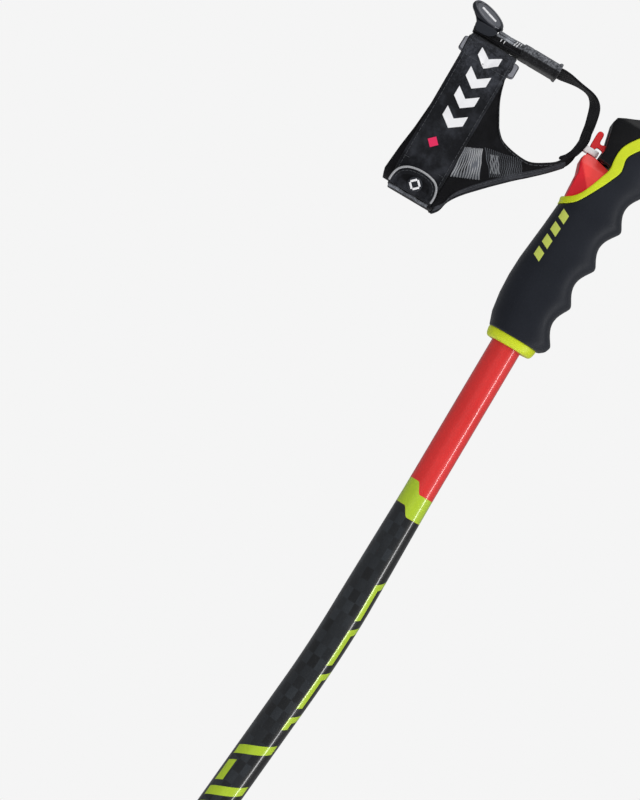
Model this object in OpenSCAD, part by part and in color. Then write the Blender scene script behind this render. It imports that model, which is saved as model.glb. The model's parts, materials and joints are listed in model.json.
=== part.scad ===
// Alpine race ski pole: bent tapered shaft, cone basket, moulded grip with a release clip,
// and a hand strap that hangs on the clip by a moulded loop.
// Millimetres. The origin is the end of the carbide tip. +Z runs parallel to the upper shaft
// and the grip, +X is the side of the finger grooves, and the strap lies on the -X side.

/* [Pole] */
// Length from the end of the tip to the top of the grip, measured along the shaft
pole_length = 1250; // [1200:5:1350]
// Wall of the shaft tube
tube_wall = 1.2; // [1:0.1:1.6]
// Outer diameter of the shaft inside the grip
upper_d = 16; // [16:0.01:16.02]
// Outer diameter of the shaft between the bends
belly_d = 17.96; // [17:0.01:18]
// Outer diameter of the shaft at the ferrule
foot_d = 11; // [11:0.01:11.02]

/* [Bends] */
// Turn of the upper bend, towards the back of the hand
upper_turn = 4.75; // [3:0.25:6]
// Radius of the upper bend
upper_bend_r = 650; // [500:10:800]
// Turn of the lower bend, back towards the front
lower_turn = 13; // [10:0.25:14]
// Radius of the lower bend
lower_bend_r = 800; // [700:10:900]

/* [Tip and basket] */
// Exposed length of the carbide tip
carbide_len = 8; // [6:0.5:10]
// Diameter of the exposed carbide
carbide_d = 3.6; // [3.2:0.1:4]
// Height of the basket's rim above the end of the tip
rim_height = 22; // [20:1:26]
// Radius of the basket's rim
rim_r = 18.8; // [18:0.2:20]
// Length of the ferrule
ferrule_len = 14.2; // [12:0.2:16]

/* [Grip] */
// Depth of the shaft in the grip core
socket_depth = 76; // [60:1:76]
// Half the width of the grip across the palm
grip_half = 15.4; // [14:0.2:16]
// Height from one finger ridge to the next
finger_pitch = 22.5; // [22:0.1:23]
// Depth of the finger grooves
groove_depth = 4.6; // [3:0.1:5]

/* [Clip] */
// Radius of the lever pin
pin_r = 1.2; // [1:0.05:1.4]
// Width of the release lever
lever_w = 3.6; // [3:0.1:4]

/* [Strap] */
// Half the thickness of the hand space, measured to the outside of the cuff
cuff_r = 13.7; // [13:0.1:13.7]
// Thickness of the cuff
cuff_t = 2.2; // [1.8:0.1:2.4]
// Thickness of the web panels
web_t = 1.6; // [1.2:0.1:1.8]
// Angle at which each web panel closes in towards the hook
web_tilt = 11.6; // [11:0.1:11.6]
// Width of the tapes that are stacked on top of the cuff
tape_w = 13; // [12:0.5:13]

/* [Hidden] */
$fn = 64;

// Colours
red = [0.86, 0.10, 0.10];
lime = [0.68, 0.78, 0.16];
rubber = [0.12, 0.12, 0.14];
black = [0.07, 0.07, 0.08];
steel = [0.70, 0.71, 0.73];
white = [0.93, 0.93, 0.92];
grey = [0.45, 0.45, 0.47];
fabric = [0.10, 0.10, 0.11];

// Shaft lengths, each measured along the axis
basket_len = 28;                                  // basket, from its rim to its top
shaft_foot = rim_height + basket_len;             // lower end of the tube, above the tip
foot_len = 322;                                   // straight stretch between ferrule and lower bend
lower_len = shaft_foot + ferrule_len + foot_len;  // from the end of the tip to the lower bend
neck_len = 148;                                   // from the grip to the upper bend
neck_taper = 59;                                  // the part of it that widens, next to the bend
grip_len = 133.2;                                 // from the collar's lower edge to the head's top
upper_arc = upper_bend_r * upper_turn * PI / 180;
lower_arc = lower_bend_r * lower_turn * PI / 180;
mid_len = pole_length - lower_len - lower_arc - upper_arc - neck_len - grip_len;
lap = 1;                                          // straights run this far into the bends
hair = 0.12;                                      // added to the bends' diameter, so that no face coincides
lean = upper_turn - lower_turn;                   // of the lower straight, from vertical

// The path from the tip up to the foot of the grip, as [x, z]
function along(a) = [sin(a), cos(a)];
function across(a) = [cos(a), -sin(a)];
bend2_low = lower_len * along(lean);
bend2_top = bend2_low + lower_bend_r * (across(lean) - across(upper_turn));
bend1_low = bend2_top + mid_len * along(upper_turn);
bend1_top = bend1_low + upper_bend_r * (across(0) - across(upper_turn));
grip_foot = bend1_top + [0, neck_len];
collar_z = 8;                                     // height of the grip's foot above the grip datum

// Frames
module at_tip() rotate([0, lean, 0]) children();
module at_bend2() translate([bend2_low[0], 0, bend2_low[1]]) rotate([0, lean, 0]) children();
module at_mid() translate([bend2_top[0], 0, bend2_top[1]]) rotate([0, upper_turn, 0]) children();
module at_bend1() translate([bend1_low[0], 0, bend1_low[1]]) rotate([0, upper_turn, 0]) children();
module at_grip() translate([grip_foot[0], 0, grip_foot[1] - collar_z]) children();

// A plate in the XZ plane, from y0 to y1
module side_plate(points, y0, y1) {
  translate([0, y1, 0]) rotate([90, 0, 0]) linear_extrude(y1 - y0) polygon(points);
}

// A block from one corner to the other
module block(low, high) {
  translate(low) cube(high - low);
}

// A cylinder along Y
module rod_y(x, z, r, y0, y1) {
  translate([x, y1, z]) rotate([90, 0, 0]) cylinder(r = r, h = y1 - y0);
}

// ---------------------------------------------------------------- shaft

// Radius of the lower straight by height above the end of the tip
foot_radii = [
  [shaft_foot, foot_d / 2],
  [shaft_foot + ferrule_len, foot_d / 2],
  [154, 6.0],
  [204, 6.7],
  [259, 7.6],
  [314, 8.55],
  [364, belly_d / 2],
  [lower_len + lap, belly_d / 2]
];

// Solid of revolution under a list of [height, radius] pairs, all radii reduced by inset
module turned(pairs, inset) {
  top = pairs[len(pairs) - 1][0];
  rotate_extrude() polygon(concat(
    [[0, pairs[0][0]]],
    [for (p = pairs) [p[1] - inset, p[0]]],
    [[0, top]]
  ));
}

// The bent bar that the tube is made from: inset 0 is its outside, tube_wall its bore
module shaft_bar(inset, reach) {
  at_tip() turned(concat([[shaft_foot - reach, foot_d / 2]], foot_radii), inset);
  at_bend2() bend_sweep(-lower_bend_r, lower_turn, inset);
  at_mid() translate([0, 0, -lap]) cylinder(r = belly_d / 2 - inset, h = mid_len + 2 * lap);
  at_bend1() bend_sweep(upper_bend_r, upper_turn, inset);
  at_grip() turned([
    [collar_z - neck_len - lap, belly_d / 2],
    [collar_z - neck_len, belly_d / 2],
    [collar_z - neck_len + neck_taper, upper_d / 2],
    [collar_z + socket_depth + reach, upper_d / 2]
  ], inset);
}

// A bend that starts at the frame's origin and climbs, turning towards -X for a positive radius
// and towards +X for a negative one
module bend_sweep(r, turn, inset) {
  mirror([r > 0 ? 0 : 1, 0, 0]) translate([-abs(r), 0, 0]) rotate([90, 0, 0])
    rotate_extrude(angle = turn) translate([abs(r), 0]) circle(r = belly_d / 2 + hair / 2 - inset);
}

module shaft_tube() {
  color(red) difference() {
    shaft_bar(0, 0);
    shaft_bar(tube_wall, 1);
  }
}

// ---------------------------------------------------------------- tip and basket

carbide_stem_r = 1.5;
carbide_stem_top = 24;
tip_neck_r = 5;
spike_r = 3;                                      // the tip body where the carbide comes out
stem_len = 30;                                    // the tip body's plug inside the tube
press_gap = 0.02;                                 // between pressed parts
hollow_grind = 1.1;                               // depth of the hollow in the carbide's end

module carbide_tip() {
  color(steel) at_tip() difference() {
    union() {
      cylinder(r = carbide_d / 2, h = carbide_len);
      cylinder(r = carbide_stem_r, h = carbide_stem_top);
    }
    translate([0, 0, -0.01]) cylinder(r1 = carbide_d / 2 - 0.4, r2 = 0, h = hollow_grind);
  }
}

module tip_body() {
  plug_r = foot_d / 2 - tube_wall - press_gap;
  color(black) at_tip() difference() {
    union() {
      translate([0, 0, carbide_len]) cylinder(r1 = spike_r, r2 = tip_neck_r, h = rim_height - carbide_len);
      translate([0, 0, rim_height]) cylinder(r = tip_neck_r, h = basket_len);
      translate([0, 0, rim_height]) cylinder(r = plug_r, h = basket_len + stem_len);
    }
    translate([0, 0, carbide_len - 1])
      cylinder(r = carbide_stem_r + press_gap, h = carbide_stem_top - carbide_len + 1.1);
  }
}

// Outside of the basket as [radius, drop below its top], and the same for its inside
basket_outside = [
  [6.7, 0], [6.7, 1], [8.8, 7.8], [11.3, 14.2], [13.9, 18.5], [16, 20.9], [rim_r, 25.5]
];
basket_inside = [
  [rim_r - 1.6, basket_len], [rim_r - 1.8, 26], [14.6, 22], [12, 19.4], [9.6, 15.4], [7.2, 9.4]
];

module cone_basket() {
  color(lime) at_tip() translate([0, 0, shaft_foot]) rotate_extrude() polygon(concat(
    [[tip_neck_r + 0.03, 0]],
    [for (p = basket_outside) [p[0], -p[1]]],
    [[rim_r - 0.3, -basket_len]],
    [for (p = basket_inside) [p[0], -p[1]]],
    [[tip_neck_r + 0.03, -9]]
  ));
}

module ferrule() {
  color(black) at_tip() translate([0, 0, shaft_foot]) rotate_extrude() polygon([
    [foot_d / 2 + 0.02, 0],
    [7.3, 0],
    [7.3, 0.8],
    [6.0, ferrule_len - 0.7],
    [5.7, ferrule_len],
    [foot_d / 2 + 0.02, ferrule_len]
  ]);
}

// ---------------------------------------------------------------- grip
// Heights in this part are above the grip datum, a point on the upper shaft's axis.

core_r = 10.6;
grip_floor = 13;                                  // where the rubber starts, above the collar
first_ridge = 18;
ridge_line = [[13, 16], [18, 19.3], [40.5, 17.8], [63, 18.6], [85.5, 20.5], [108, 21.6], [132, 21.8]];
rear_line = [
  [13, -12.6], [20, -15.2], [30, -16.7], [40, -17.2], [50, -16.9], [60, -15.9], [70, -14.9], [84, -13.8]
];
function front_x(z) = lookup(z, ridge_line)
  - groove_depth * (z < first_ridge ? 0 : abs(sin(180 * (z - first_ridge) / finger_pitch)));

// The two edges of the trim band, from the rear of the grip up to the front of its head
trim_low = [
  [-13.9, 83.6], [-8, 87], [-5, 92], [-1, 100], [2, 106], [4.5, 111], [3.5, 120], [9, 127],
  [14, 130], [18, 131.2], [21.8, 131.6]
];
trim_high = [
  [-12.8, 87], [-8, 91], [-5, 97], [-2.5, 104], [-1, 109], [-1.5, 113], [-1.5, 120], [0.5, 125],
  [5, 131], [9, 133.6], [14, 135.2], [18, 136], [21, 136.2]
];
function reversed(list) = [for (i = [len(list) - 1:-1:0]) list[i]];

rubber_outline = concat(
  [for (p = rear_line) if (p[0] < 84) [p[1], p[0]]],
  trim_low,
  [for (z = [130:-1.5:14.5]) [front_x(z), z]],
  [[14, 13]]
);
trim_outline = concat(trim_low, reversed(trim_high));
head_outline = concat(
  [[-8.3, 111.3], [-7.6, 117], [-11, 130], [-10.5, 133.5], [-7, 135.3], [-3, 137], [0, 138.5]],
  [[4, 140.3], [9, 141.2], [14, 140], [18.5, 137.8]],
  reversed([for (i = [4:12]) trim_high[i]]),
  [[-1.1, 109.3]]
);
tower_outline = [
  [-12.8, 87], [-8, 91], [-5, 97], [-2.5, 104], [-1.2, 108.8], [-9.2, 110.7], [-14.4, 110.7],
  [-15.6, 108.8], [-15.6, 105.6], [-13.7, 100]
];

// Half widths across the palm by height, for the body of the grip and for the tower
grip_widths = [
  [8, 0.83], [14, 0.95], [30, 1], [55, 0.98], [78, 0.92], [100, 0.87], [125, 0.85], [142, 0.7]
];
tower_widths = [[80, 12], [100, 11], [111, 6.4], [114, 6.4]];

// A block that is as wide as the pairs say at each height, long enough to cut the whole grip
module width_block(pairs, unit) {
  translate([-40, 0, 0]) rotate([90, 0, 90]) linear_extrude(80) polygon(concat(
    [for (p = pairs) [p[1] * unit, p[0]]],
    [for (p = reversed(pairs)) [-p[1] * unit, p[0]]]
  ));
}

// Rounded rectangle from x0 to x1, half wide to each side
module round_plan(x0, x1, half, r) {
  translate([x0 + r, -half]) square([x1 - x0 - 2 * r, 2 * half]);
  translate([x0, -half + r]) square([x1 - x0, 2 * half - 2 * r]);
  for (x = [x0 + r, x1 - r], y = [-half + r, half - r]) translate([x, y]) circle(r = r);
}

// The space of the grip between two heights
module grip_space(z0, z1) {
  intersection() {
    translate([0, 0, z0]) linear_extrude(z1 - z0) round_plan(-17.2, 22, grip_half, 10);
    width_block(grip_widths, grip_half);
  }
}

// The core's outside, grown by gap
module core_form(gap) {
  translate([0, 0, grip_floor]) cylinder(r = core_r + gap, h = 71);
  block([1 - gap, -7 - gap, 80], [13 + gap, 7 + gap, 126 + gap]);
}

// The screw's space, along X
screw_z = 97;
module screw_space(r, x1) {
  translate([-14.5, 0, screw_z]) rotate([0, 90, 0]) cylinder(r = r, h = x1 + 14.5);
}

module grip_core() {
  color(black) at_grip() difference() {
    core_form(0);
    translate([0, 0, grip_floor - 1])
      cylinder(r = upper_d / 2 + 0.03, h = socket_depth + collar_z - grip_floor + 1.1);
    screw_space(1.52, 9);
  }
}

module grip_rubber() {
  color(rubber) at_grip() difference() {
    intersection() {
      side_plate(rubber_outline, -20, 20);
      grip_space(grip_floor, 134);
    }
    core_form(0.05);
    screw_space(1.7, 4);
  }
}

module grip_collar() {
  color(lime) at_grip() difference() {
    union() {
      translate([0, 0, collar_z + 1.2]) linear_extrude(3.7) round_plan(-12.2, 13.8, 12.8, 9);
      translate([0, 0, collar_z]) linear_extrude(1.3) round_plan(-10.8, 11.6, 11.4, 8);
    }
    translate([0, 0, collar_z - 1]) cylinder(r = upper_d / 2 + 0.03, h = 8);
  }
}

module trim_band() {
  color(lime) at_grip() difference() {
    intersection() {
      side_plate(trim_outline, -20, 20);
      grip_space(80, 138);
    }
    core_form(0.05);
    screw_space(1.7, 4);
  }
}

// ---------------------------------------------------------------- release clip

pivot_x = -4.8;
pivot_z = 113.8;
boss_r = 2.6;
slot_half = lever_w / 2 + 0.5;
slot_outline = [
  [-13, 108], [-1.8, 108], [-1.8, 118], [-4.2, 121.5], [-6.4, 124], [-6.4, 127.8], [-13, 127.8]
];

module grip_head() {
  color(black) at_grip() difference() {
    intersection() {
      side_plate(head_outline, -20, 20);
      grip_space(106, 144);
    }
    core_form(0.05);
    side_plate(slot_outline, -slot_half, slot_half);
    rod_y(pivot_x, pivot_z, 3.5, -4.9, 4.9);
    rod_y(pivot_x, pivot_z, pin_r + 0.01, -9, 20);
  }
}

post_x = -13.1;
module clip_tower() {
  color(red) at_grip() difference() {
    union() {
      intersection() {
        side_plate(tower_outline, -20, 20);
        width_block(tower_widths, 1);
      }
      translate([post_x, 0, 109]) cylinder(r = 1.3, h = 3.6);
    }
    screw_space(1.7, 4);
    screw_space(3.1, -11);
    core_form(0.05);
  }
}

module tower_screw() {
  color(steel) at_grip() difference() {
    union() {
      translate([-13.3, 0, screw_z]) rotate([0, 90, 0]) cylinder(r = 2.9, h = 2.2);
      translate([-11.2, 0, screw_z]) rotate([0, 90, 0]) cylinder(r = 1.5, h = 18);
    }
    translate([-13.4, 0, screw_z]) rotate([0, 90, 0]) cylinder(r = 1.3, h = 1.6, $fn = 6);
  }
}

module lever_pin() {
  color(steel) at_grip() rod_y(pivot_x, pivot_z, pin_r, -8.8, 11.6);
}

// Torsion spring beside the lever's boss: a stack of wire turns with a short leg at each end
wire_r = 0.25;
coil_r = 2.1;
coil_pitch = 0.56;
module lever_spring() {
  color(steel) at_grip() translate([pivot_x, 0, pivot_z]) {
    for (i = [0:3]) translate([0, 2.7 + coil_pitch * i, 0]) rotate([90, 0, 0])
      rotate_extrude() translate([coil_r, 0]) circle(r = wire_r);
    translate([0, 2.7, coil_r]) cylinder(r = wire_r - 0.03, h = 1.1);
    translate([0, 2.7 + coil_pitch * 3, -coil_r - 1.1]) cylinder(r = wire_r - 0.03, h = 1.1);
  }
}

lever_outline = [
  [-14.3, 113], [-11.9, 113], [-11.9, 115.3], [-11.2, 116.5], [-8.5, 116.2], [-6.6, 114.6],
  [-3.4, 115.6], [-7.5, 119.6], [-11.5, 118.4], [-11.5, 122.75], [-15, 122.75], [-15, 115.8], [-14.3, 115]
];
module release_lever() {
  color(red) at_grip() difference() {
    union() {
      side_plate(lever_outline, -lever_w / 2, lever_w / 2);
      rod_y(-13.25, 122.75, 1.75, -lever_w / 2, lever_w / 2);
      rod_y(pivot_x, pivot_z, boss_r, -lever_w / 2, lever_w / 2);
    }
    rod_y(pivot_x, pivot_z, pin_r + 0.05, -lever_w, lever_w);
  }
}

// ---------------------------------------------------------------- strap

bar_x = -18;
bar_z = 113.2;
bar_r = 0.9;
loop_wall = 1.2;
loop_in = 2.4;
loop_nose_x = -12.7;
loop_z = [111.5, 114.9];

module loop_plan(half) {
  translate([loop_nose_x, 0]) circle(r = half);
  translate([-19, -half]) square([19 + loop_nose_x, 2 * half]);
}

module strap_loop() {
  color(white) at_grip() {
    translate([0, 0, loop_z[0]]) linear_extrude(loop_z[1] - loop_z[0]) difference() {
      loop_plan(loop_in + loop_wall);
      loop_plan(loop_in);
      translate([-21, -loop_in]) square([3, 2 * loop_in]);
    }
    rod_y(bar_x, bar_z, bar_r, -loop_in - 0.6, loop_in + 0.6);
  }
}

// The sewn end of the strap: a roll round the loop's bar and the stack of cloth behind it
sleeve_half = 2.1;
sleeve_tail = [
  [-18.6, 111.4], [-17.6, 109.6], [-18.5, 107], [-18.8, 103], [-20.6, 100.4], [-24.6, 104.6],
  [-22, 110.4], [-21, 112.6], [-20.6, 117], [-18.8, 117], [-18.6, 115]
];
module hook_sleeve() {
  color(fabric) at_grip() difference() {
    union() {
      rod_y(bar_x, bar_z, 2, -sleeve_half, sleeve_half);
      side_plate(sleeve_tail, -sleeve_half, sleeve_half);
    }
    rod_y(bar_x, bar_z, bar_r + 0.1, -5, 5);
  }
}

// The thumb tape: stations of [x, z, width, twist], from the keeper to the hook sleeve
tape_t = 1.4;
tape_route = [
  [-46.4, 140.2, 11, 0], [-42, 139.9, 10.5, 0], [-38, 139.6, 10, 0], [-34, 139.3, 9.6, 0],
  [-30.5, 138.8, 9.2, 4], [-27.5, 137.9, 8.8, 10], [-25, 136.4, 8.4, 18], [-23, 134.1, 8, 26],
  [-21.6, 131, 7.6, 32], [-20.7, 127.5, 7.2, 33], [-20, 124, 6.6, 28], [-19.6, 120.8, 5.6, 18],
  [-19.5, 117.4, 4.2, 6]
];
function route_dir(i) = let (
  a = tape_route[max(0, i - 1)],
  b = tape_route[min(len(tape_route) - 1, i + 1)],
  d = [b[0] - a[0], b[1] - a[1]]
) d / norm(d);
// Four corners of the tape at one station: half a width across and half a thickness through
function tape_corner(i, s, t) = let (
  p = tape_route[i],
  d = route_dir(i),
  n = [-d[1], d[0]],
  w = s * p[2] / 2,
  h = t * tape_t / 2,
  in_plane = w * sin(p[3]) + h * cos(p[3]),
  sideways = w * cos(p[3]) - h * sin(p[3])
) [p[0] + n[0] * in_plane, -sideways, p[1] + n[1] * in_plane];
module thumb_webbing() {
  last = len(tape_route) - 1;
  color(fabric) at_grip() polyhedron(
    points = [for (i = [0:last], c = [[-1, -1], [1, -1], [1, 1], [-1, 1]]) tape_corner(i, c[0], c[1])],
    faces = concat(
      [[0, 1, 2, 3]],
      [for (i = [0:last - 1], k = [0:3]) [4 * i + k, 4 * i + 4 + k, 4 * i + 4 + (k + 1) % 4]],
      [for (i = [0:last - 1], k = [0:3]) [4 * i + k, 4 * i + 4 + (k + 1) % 4, 4 * i + (k + 1) % 4]],
      [[4 * last + 3, 4 * last + 2, 4 * last + 1, 4 * last]]
    )
  );
}

// A web panel: a flat outline that leans in towards the hook
web_root_x = -67.9;
web_root_y = -11.9;
web_outline = [
  [-67.9, 47.6], [-66, 47], [-63.8, 50.2], [-62, 56], [-58, 62.4], [-50, 71], [-40, 80.4],
  [-33, 87], [-26, 94], [-21.4, 99.8], [-21, 103], [-20.8, 109.6], [-21.4, 107], [-25, 100.4],
  [-30, 96.2], [-36, 92.9], [-41, 92], [-48, 92.6], [-54, 94.2], [-58, 98], [-60, 101],
  [-64, 108], [-67.9, 119.5]
];
mesh_outline = [[-66.9, 67.2], [-66.9, 85], [-63, 86.5], [-58.6, 85.6], [-57, 79], [-54.4, 72.4]];
mesh_inset = 0.3;                                 // the mesh lies this much below both faces
module leaning_plate(points, inset, t) {
  translate([web_root_x, web_root_y, 0]) rotate([0, 0, web_tilt]) rotate([90, 0, 0])
    translate([0, 0, inset]) linear_extrude(t)
      polygon([for (p = points) [(p[0] - web_root_x) / cos(web_tilt), p[1]]]);
}
module thumb_web() {
  color(fabric) at_grip() difference() {
    leaning_plate(web_outline, 0, web_t);
    leaning_plate(mesh_outline, -1, web_t + 2);
  }
}
module mesh_insert() {
  color(grey) at_grip() leaning_plate(mesh_outline, mesh_inset, web_t - 2 * mesh_inset);
}
module palm_web() {
  color(fabric) at_grip() mirror([0, 1, 0]) leaning_plate(web_outline, 0, web_t);
}

// The cuff: a long loop round the hand, split into a back half and a palm half
cuff_low = 61.7;                                  // centre of the lower turn
cuff_high = 120.5;                                // centre of the upper turn
cuff_sides = [
  [-95.2, 136], [-94.3, 120], [-94, 92], [-95, 78], [-96.5, 66], [-97.8, 52], [-94.6, 46],
  [-68.1, 46], [-68.1, 136]
];
module cuff_plan(r) {
  translate([0, cuff_low]) circle(r = r);
  translate([0, cuff_high]) circle(r = r);
  translate([-r, cuff_low]) square([2 * r, cuff_high - cuff_low]);
}
module cuff_half(y0, y1) {
  intersection() {
    translate([-100, 0, 0]) rotate([90, 0, 90]) linear_extrude(35) difference() {
      cuff_plan(cuff_r);
      cuff_plan(cuff_r - cuff_t);
    }
    side_plate(cuff_sides, y0, y1);
  }
}
module back_band() {
  color(fabric) at_grip() cuff_half(-20, 0);
}
module palm_band() {
  color(fabric) at_grip() cuff_half(0, 20);
}

// The ring lies in the cuff's upper fold, leaning with it, and its ends stand out at both edges
ring_x = [-96.6, -65.2];
ring_width = 6.6;
ring_t = 1.9;
ring_bar = 1.7;                                   // width of its long bars
ring_end = 3;                                     // width of its short ends
ring_lean = 46;                                   // how far round the fold it lies
ring_reach = 9.7;                                 // from the fold's centre line to the ring's middle
module buckle_ring() {
  color(grey) at_grip() translate([0, 0, cuff_high]) rotate([-ring_lean, 0, 0]) difference() {
    block([ring_x[0], -ring_reach - ring_t / 2, -ring_width / 2],
          [ring_x[1], -ring_reach + ring_t / 2, ring_width / 2]);
    block([ring_x[0] + ring_end, -ring_reach - ring_t, -ring_width / 2 + ring_bar],
          [ring_x[1] - ring_end, -ring_reach + ring_t, ring_width / 2 - ring_bar]);
  }
}

module closure_strap() {
  color(fabric) at_grip() {
    block([-95, -tape_w / 2, 135.5], [-46.6, tape_w / 2, 139.1]);
    block([-95, -4, 134.25], [-79.6, 4, 135.6]);
  }
}
module adjust_webbing() {
  color(grey) at_grip() block([-82.4, -tape_w / 2, 139.25], [-46.6, tape_w / 2, 142.9]);
}

keeper_x = [-68.5, -46.8];
module keeper_sleeve() {
  half = tape_w / 2 + 0.35;
  color(rubber) at_grip() difference() {
    union() {
      block([keeper_x[0], -half - 0.9, 134.55], [keeper_x[1], half + 0.9, 143.9]);
      block([keeper_x[1] - 1.6, -half - 1.5, 134.2], [keeper_x[1], half + 1.5, 144.4]);
    }
    block([keeper_x[0] - 1, -half, 135.2], [keeper_x[1] + 1, half, 143.2]);
  }
}

// The pull tab: an oval plate on a wedge-shaped foot
tab_tilt = 16;
tab_roll = 20;
function oval(a, b) = [for (t = [0:11.25:359]) [a * cos(t), b * sin(t)]];
module on_tab() {
  translate([-92.2, 0, 145.4]) rotate([0, tab_tilt, 0]) rotate([tab_roll, 0, 0]) children();
}
module pull_tab() {
  color(rubber) at_grip() {
    on_tab() translate([0, 0, -1.6]) linear_extrude(3) polygon(oval(9.4, 6.6));
    side_plate([[-98.6, 145.2], [-95.2, 139.9], [-83, 139.5], [-83, 142.2], [-88, 143.6]], -4.6, 4.6);
  }
}
module tab_inlay() {
  color(white) at_grip() on_tab() translate([0, 0, 1.45]) linear_extrude(0.6) polygon(oval(7.4, 4.7));
}

// The wrist wrap runs under the cuff and up its palm side. Its front end carries the flap.
wrap_x = [-92, -68.6];
wrap_in = cuff_r + 0.2;
wrap_t = 1.6;
wrap_out = wrap_in + wrap_t;
module wrist_wrap() {
  color(fabric) at_grip() translate([wrap_x[0], 0, 0]) rotate([90, 0, 90])
    linear_extrude(wrap_x[1] - wrap_x[0]) wrap_section();
}
module wrap_section() {
  intersection() {
    translate([0, cuff_low]) difference() {
      circle(r = wrap_out);
      circle(r = wrap_in);
    }
    translate([0, cuff_low - 20]) square([20, 20]);
  }
  translate([-13.8, cuff_low - wrap_out]) square([13.9, wrap_t]);
  translate([wrap_in, cuff_low - 0.1]) square([wrap_t, 16]);
}

flap_x = -80.4;
flap_foot = 48.9;
flap_half = 12;
flap_high = 13.4;
flap_y = [-16, -14.4];
// An arch with a flat foot: a superellipse of the fourth order, cut at its middle
function arch(half, high) = [for (t = [0:7.5:180])
  [flap_x + half * sign(cos(t)) * sqrt(abs(cos(t))), flap_foot + high * sqrt(abs(sin(t)))]];
module closure_flap() {
  color(fabric) at_grip() side_plate(arch(flap_half, flap_high), flap_y[0], flap_y[1]);
}
piping_w = 1.1;
piping_t = 0.9;
module flap_piping() {
  inner_half = flap_half - piping_w;
  inner_arch = concat(
    [[flap_x + inner_half, flap_foot - 1]],
    arch(inner_half, flap_high - piping_w),
    [[flap_x - inner_half, flap_foot - 1]]
  );
  color(grey) at_grip() difference() {
    side_plate(arch(flap_half, flap_high), flap_y[0] - piping_t, flap_y[0]);
    side_plate(inner_arch, flap_y[0] - 2, flap_y[0] + 1);
  }
}
module flap_badge() {
  color(white) at_grip() rod_y(flap_x, flap_foot + 5, 3.8, flap_y[0] - 0.8, flap_y[0]);
}

shaft_tube();
ferrule();
cone_basket();
tip_body();
carbide_tip();
grip_core();
grip_rubber();
grip_collar();
trim_band();
grip_head();
clip_tower();
tower_screw();
lever_pin();
lever_spring();
release_lever();
strap_loop();
hook_sleeve();
thumb_webbing();
thumb_web();
palm_web();
mesh_insert();
back_band();
palm_band();
buckle_ring();
closure_strap();
adjust_webbing();
keeper_sleeve();
pull_tab();
tab_inlay();
wrist_wrap();
closure_flap();
flap_piping();
flap_badge();
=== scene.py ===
# %% [markdown]
# # A race ski pole in pieces
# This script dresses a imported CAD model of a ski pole. The CAD file holds the sizes, the joints and
# the mechanism. Here each piece gets the surface that a hand and an eye would find on it: paint over
# a bent tube, moulded rubber, a carbide point, and a hand strap sewn from cloth and tape. The frame
# is loaded first, because every place below is worked out from it.

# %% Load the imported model
import json
import bpy
import numpy as np
from mathutils import Matrix, Vector


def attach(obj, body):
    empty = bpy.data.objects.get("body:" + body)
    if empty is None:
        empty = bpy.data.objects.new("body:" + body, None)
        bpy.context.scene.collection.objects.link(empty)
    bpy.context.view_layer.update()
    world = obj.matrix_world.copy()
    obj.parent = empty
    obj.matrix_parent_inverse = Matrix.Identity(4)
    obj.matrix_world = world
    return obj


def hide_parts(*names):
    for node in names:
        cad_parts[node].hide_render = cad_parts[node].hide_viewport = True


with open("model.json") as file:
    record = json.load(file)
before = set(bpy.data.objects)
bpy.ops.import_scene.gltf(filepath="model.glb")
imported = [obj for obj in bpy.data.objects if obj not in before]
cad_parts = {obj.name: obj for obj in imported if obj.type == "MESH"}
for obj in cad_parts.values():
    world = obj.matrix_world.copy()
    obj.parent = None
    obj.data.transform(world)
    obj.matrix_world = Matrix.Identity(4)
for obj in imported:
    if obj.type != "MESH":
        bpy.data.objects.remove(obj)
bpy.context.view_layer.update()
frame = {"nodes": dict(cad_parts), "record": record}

# %% [markdown]
# ## Where things are
# Lengths below are in millimetres, which is how such a pole is drawn. The grip and the strap are
# described from a datum on the axis of the upper shaft, 8 mm below the grip's collar. X is positive
# on the side of the fingers, Z is up the grip, and the printed face of the strap looks to -Y.
# `to_row` turns such points into metres in the frame that all the tools share.

# %% The grip's own frame
MM = 0.001
MOUNTS = {m["name"]: np.array(m["pos_m"], float) for m in frame["record"]["mounts"]}
COLLAR_Z = 8.0
DATUM = MOUNTS["hand_grip"] - np.array([0, 0, COLLAR_Z * MM])


def to_row(points):
    """Points in the grip's frame, in millimetres, as points in the shared frame, in metres."""
    return np.asarray(points, float) * MM + DATUM


def smoothstep(t):
    """0 below 0, 1 above 1, and in between three times the square less twice the cube."""
    t = np.clip(t, 0, 1)
    return t * t * (3 - 2 * t)


def unit(v):
    """Vectors scaled to length 1, along the last axis."""
    v = np.asarray(v, float)
    return v / np.maximum(np.linalg.norm(v, axis=-1, keepdims=True), 1e-12)


def curve_through(points, count, closed=False):
    """A smooth line through a few points: a Catmull-Rom spline, a cubic between each two points
    whose slope at a point is half the step between its neighbours, taken at equal distances."""
    p = np.asarray(points, float)
    if closed:
        ends = (p[-1:], p[:2])
    else:
        ends = (2 * p[:1] - p[1:2], 2 * p[-1:] - p[-2:-1])
    q = np.concatenate([ends[0], p, ends[1]])
    t = np.linspace(0, 1, 24, endpoint=False)[None, :, None]
    a, b, c, d = (q[k:len(q) - 3 + k, None] for k in range(4))
    fine = 0.5 * (2 * b + (c - a) * t + (2 * a - 5 * b + 4 * c - d) * t**2
                  + (3 * b - a - 3 * c + d) * t**3)
    fine = np.concatenate([fine.reshape(-1, p.shape[1]), q[-2:-1]])
    run = np.concatenate([[0], np.cumsum(np.linalg.norm(np.diff(fine, axis=0), axis=1))])
    at = np.linspace(0, run[-1], count, endpoint=not closed)
    return np.stack([np.interp(at, run, fine[:, k]) for k in range(p.shape[1])], -1)


print("grip datum in metres", DATUM.round(5))

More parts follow.
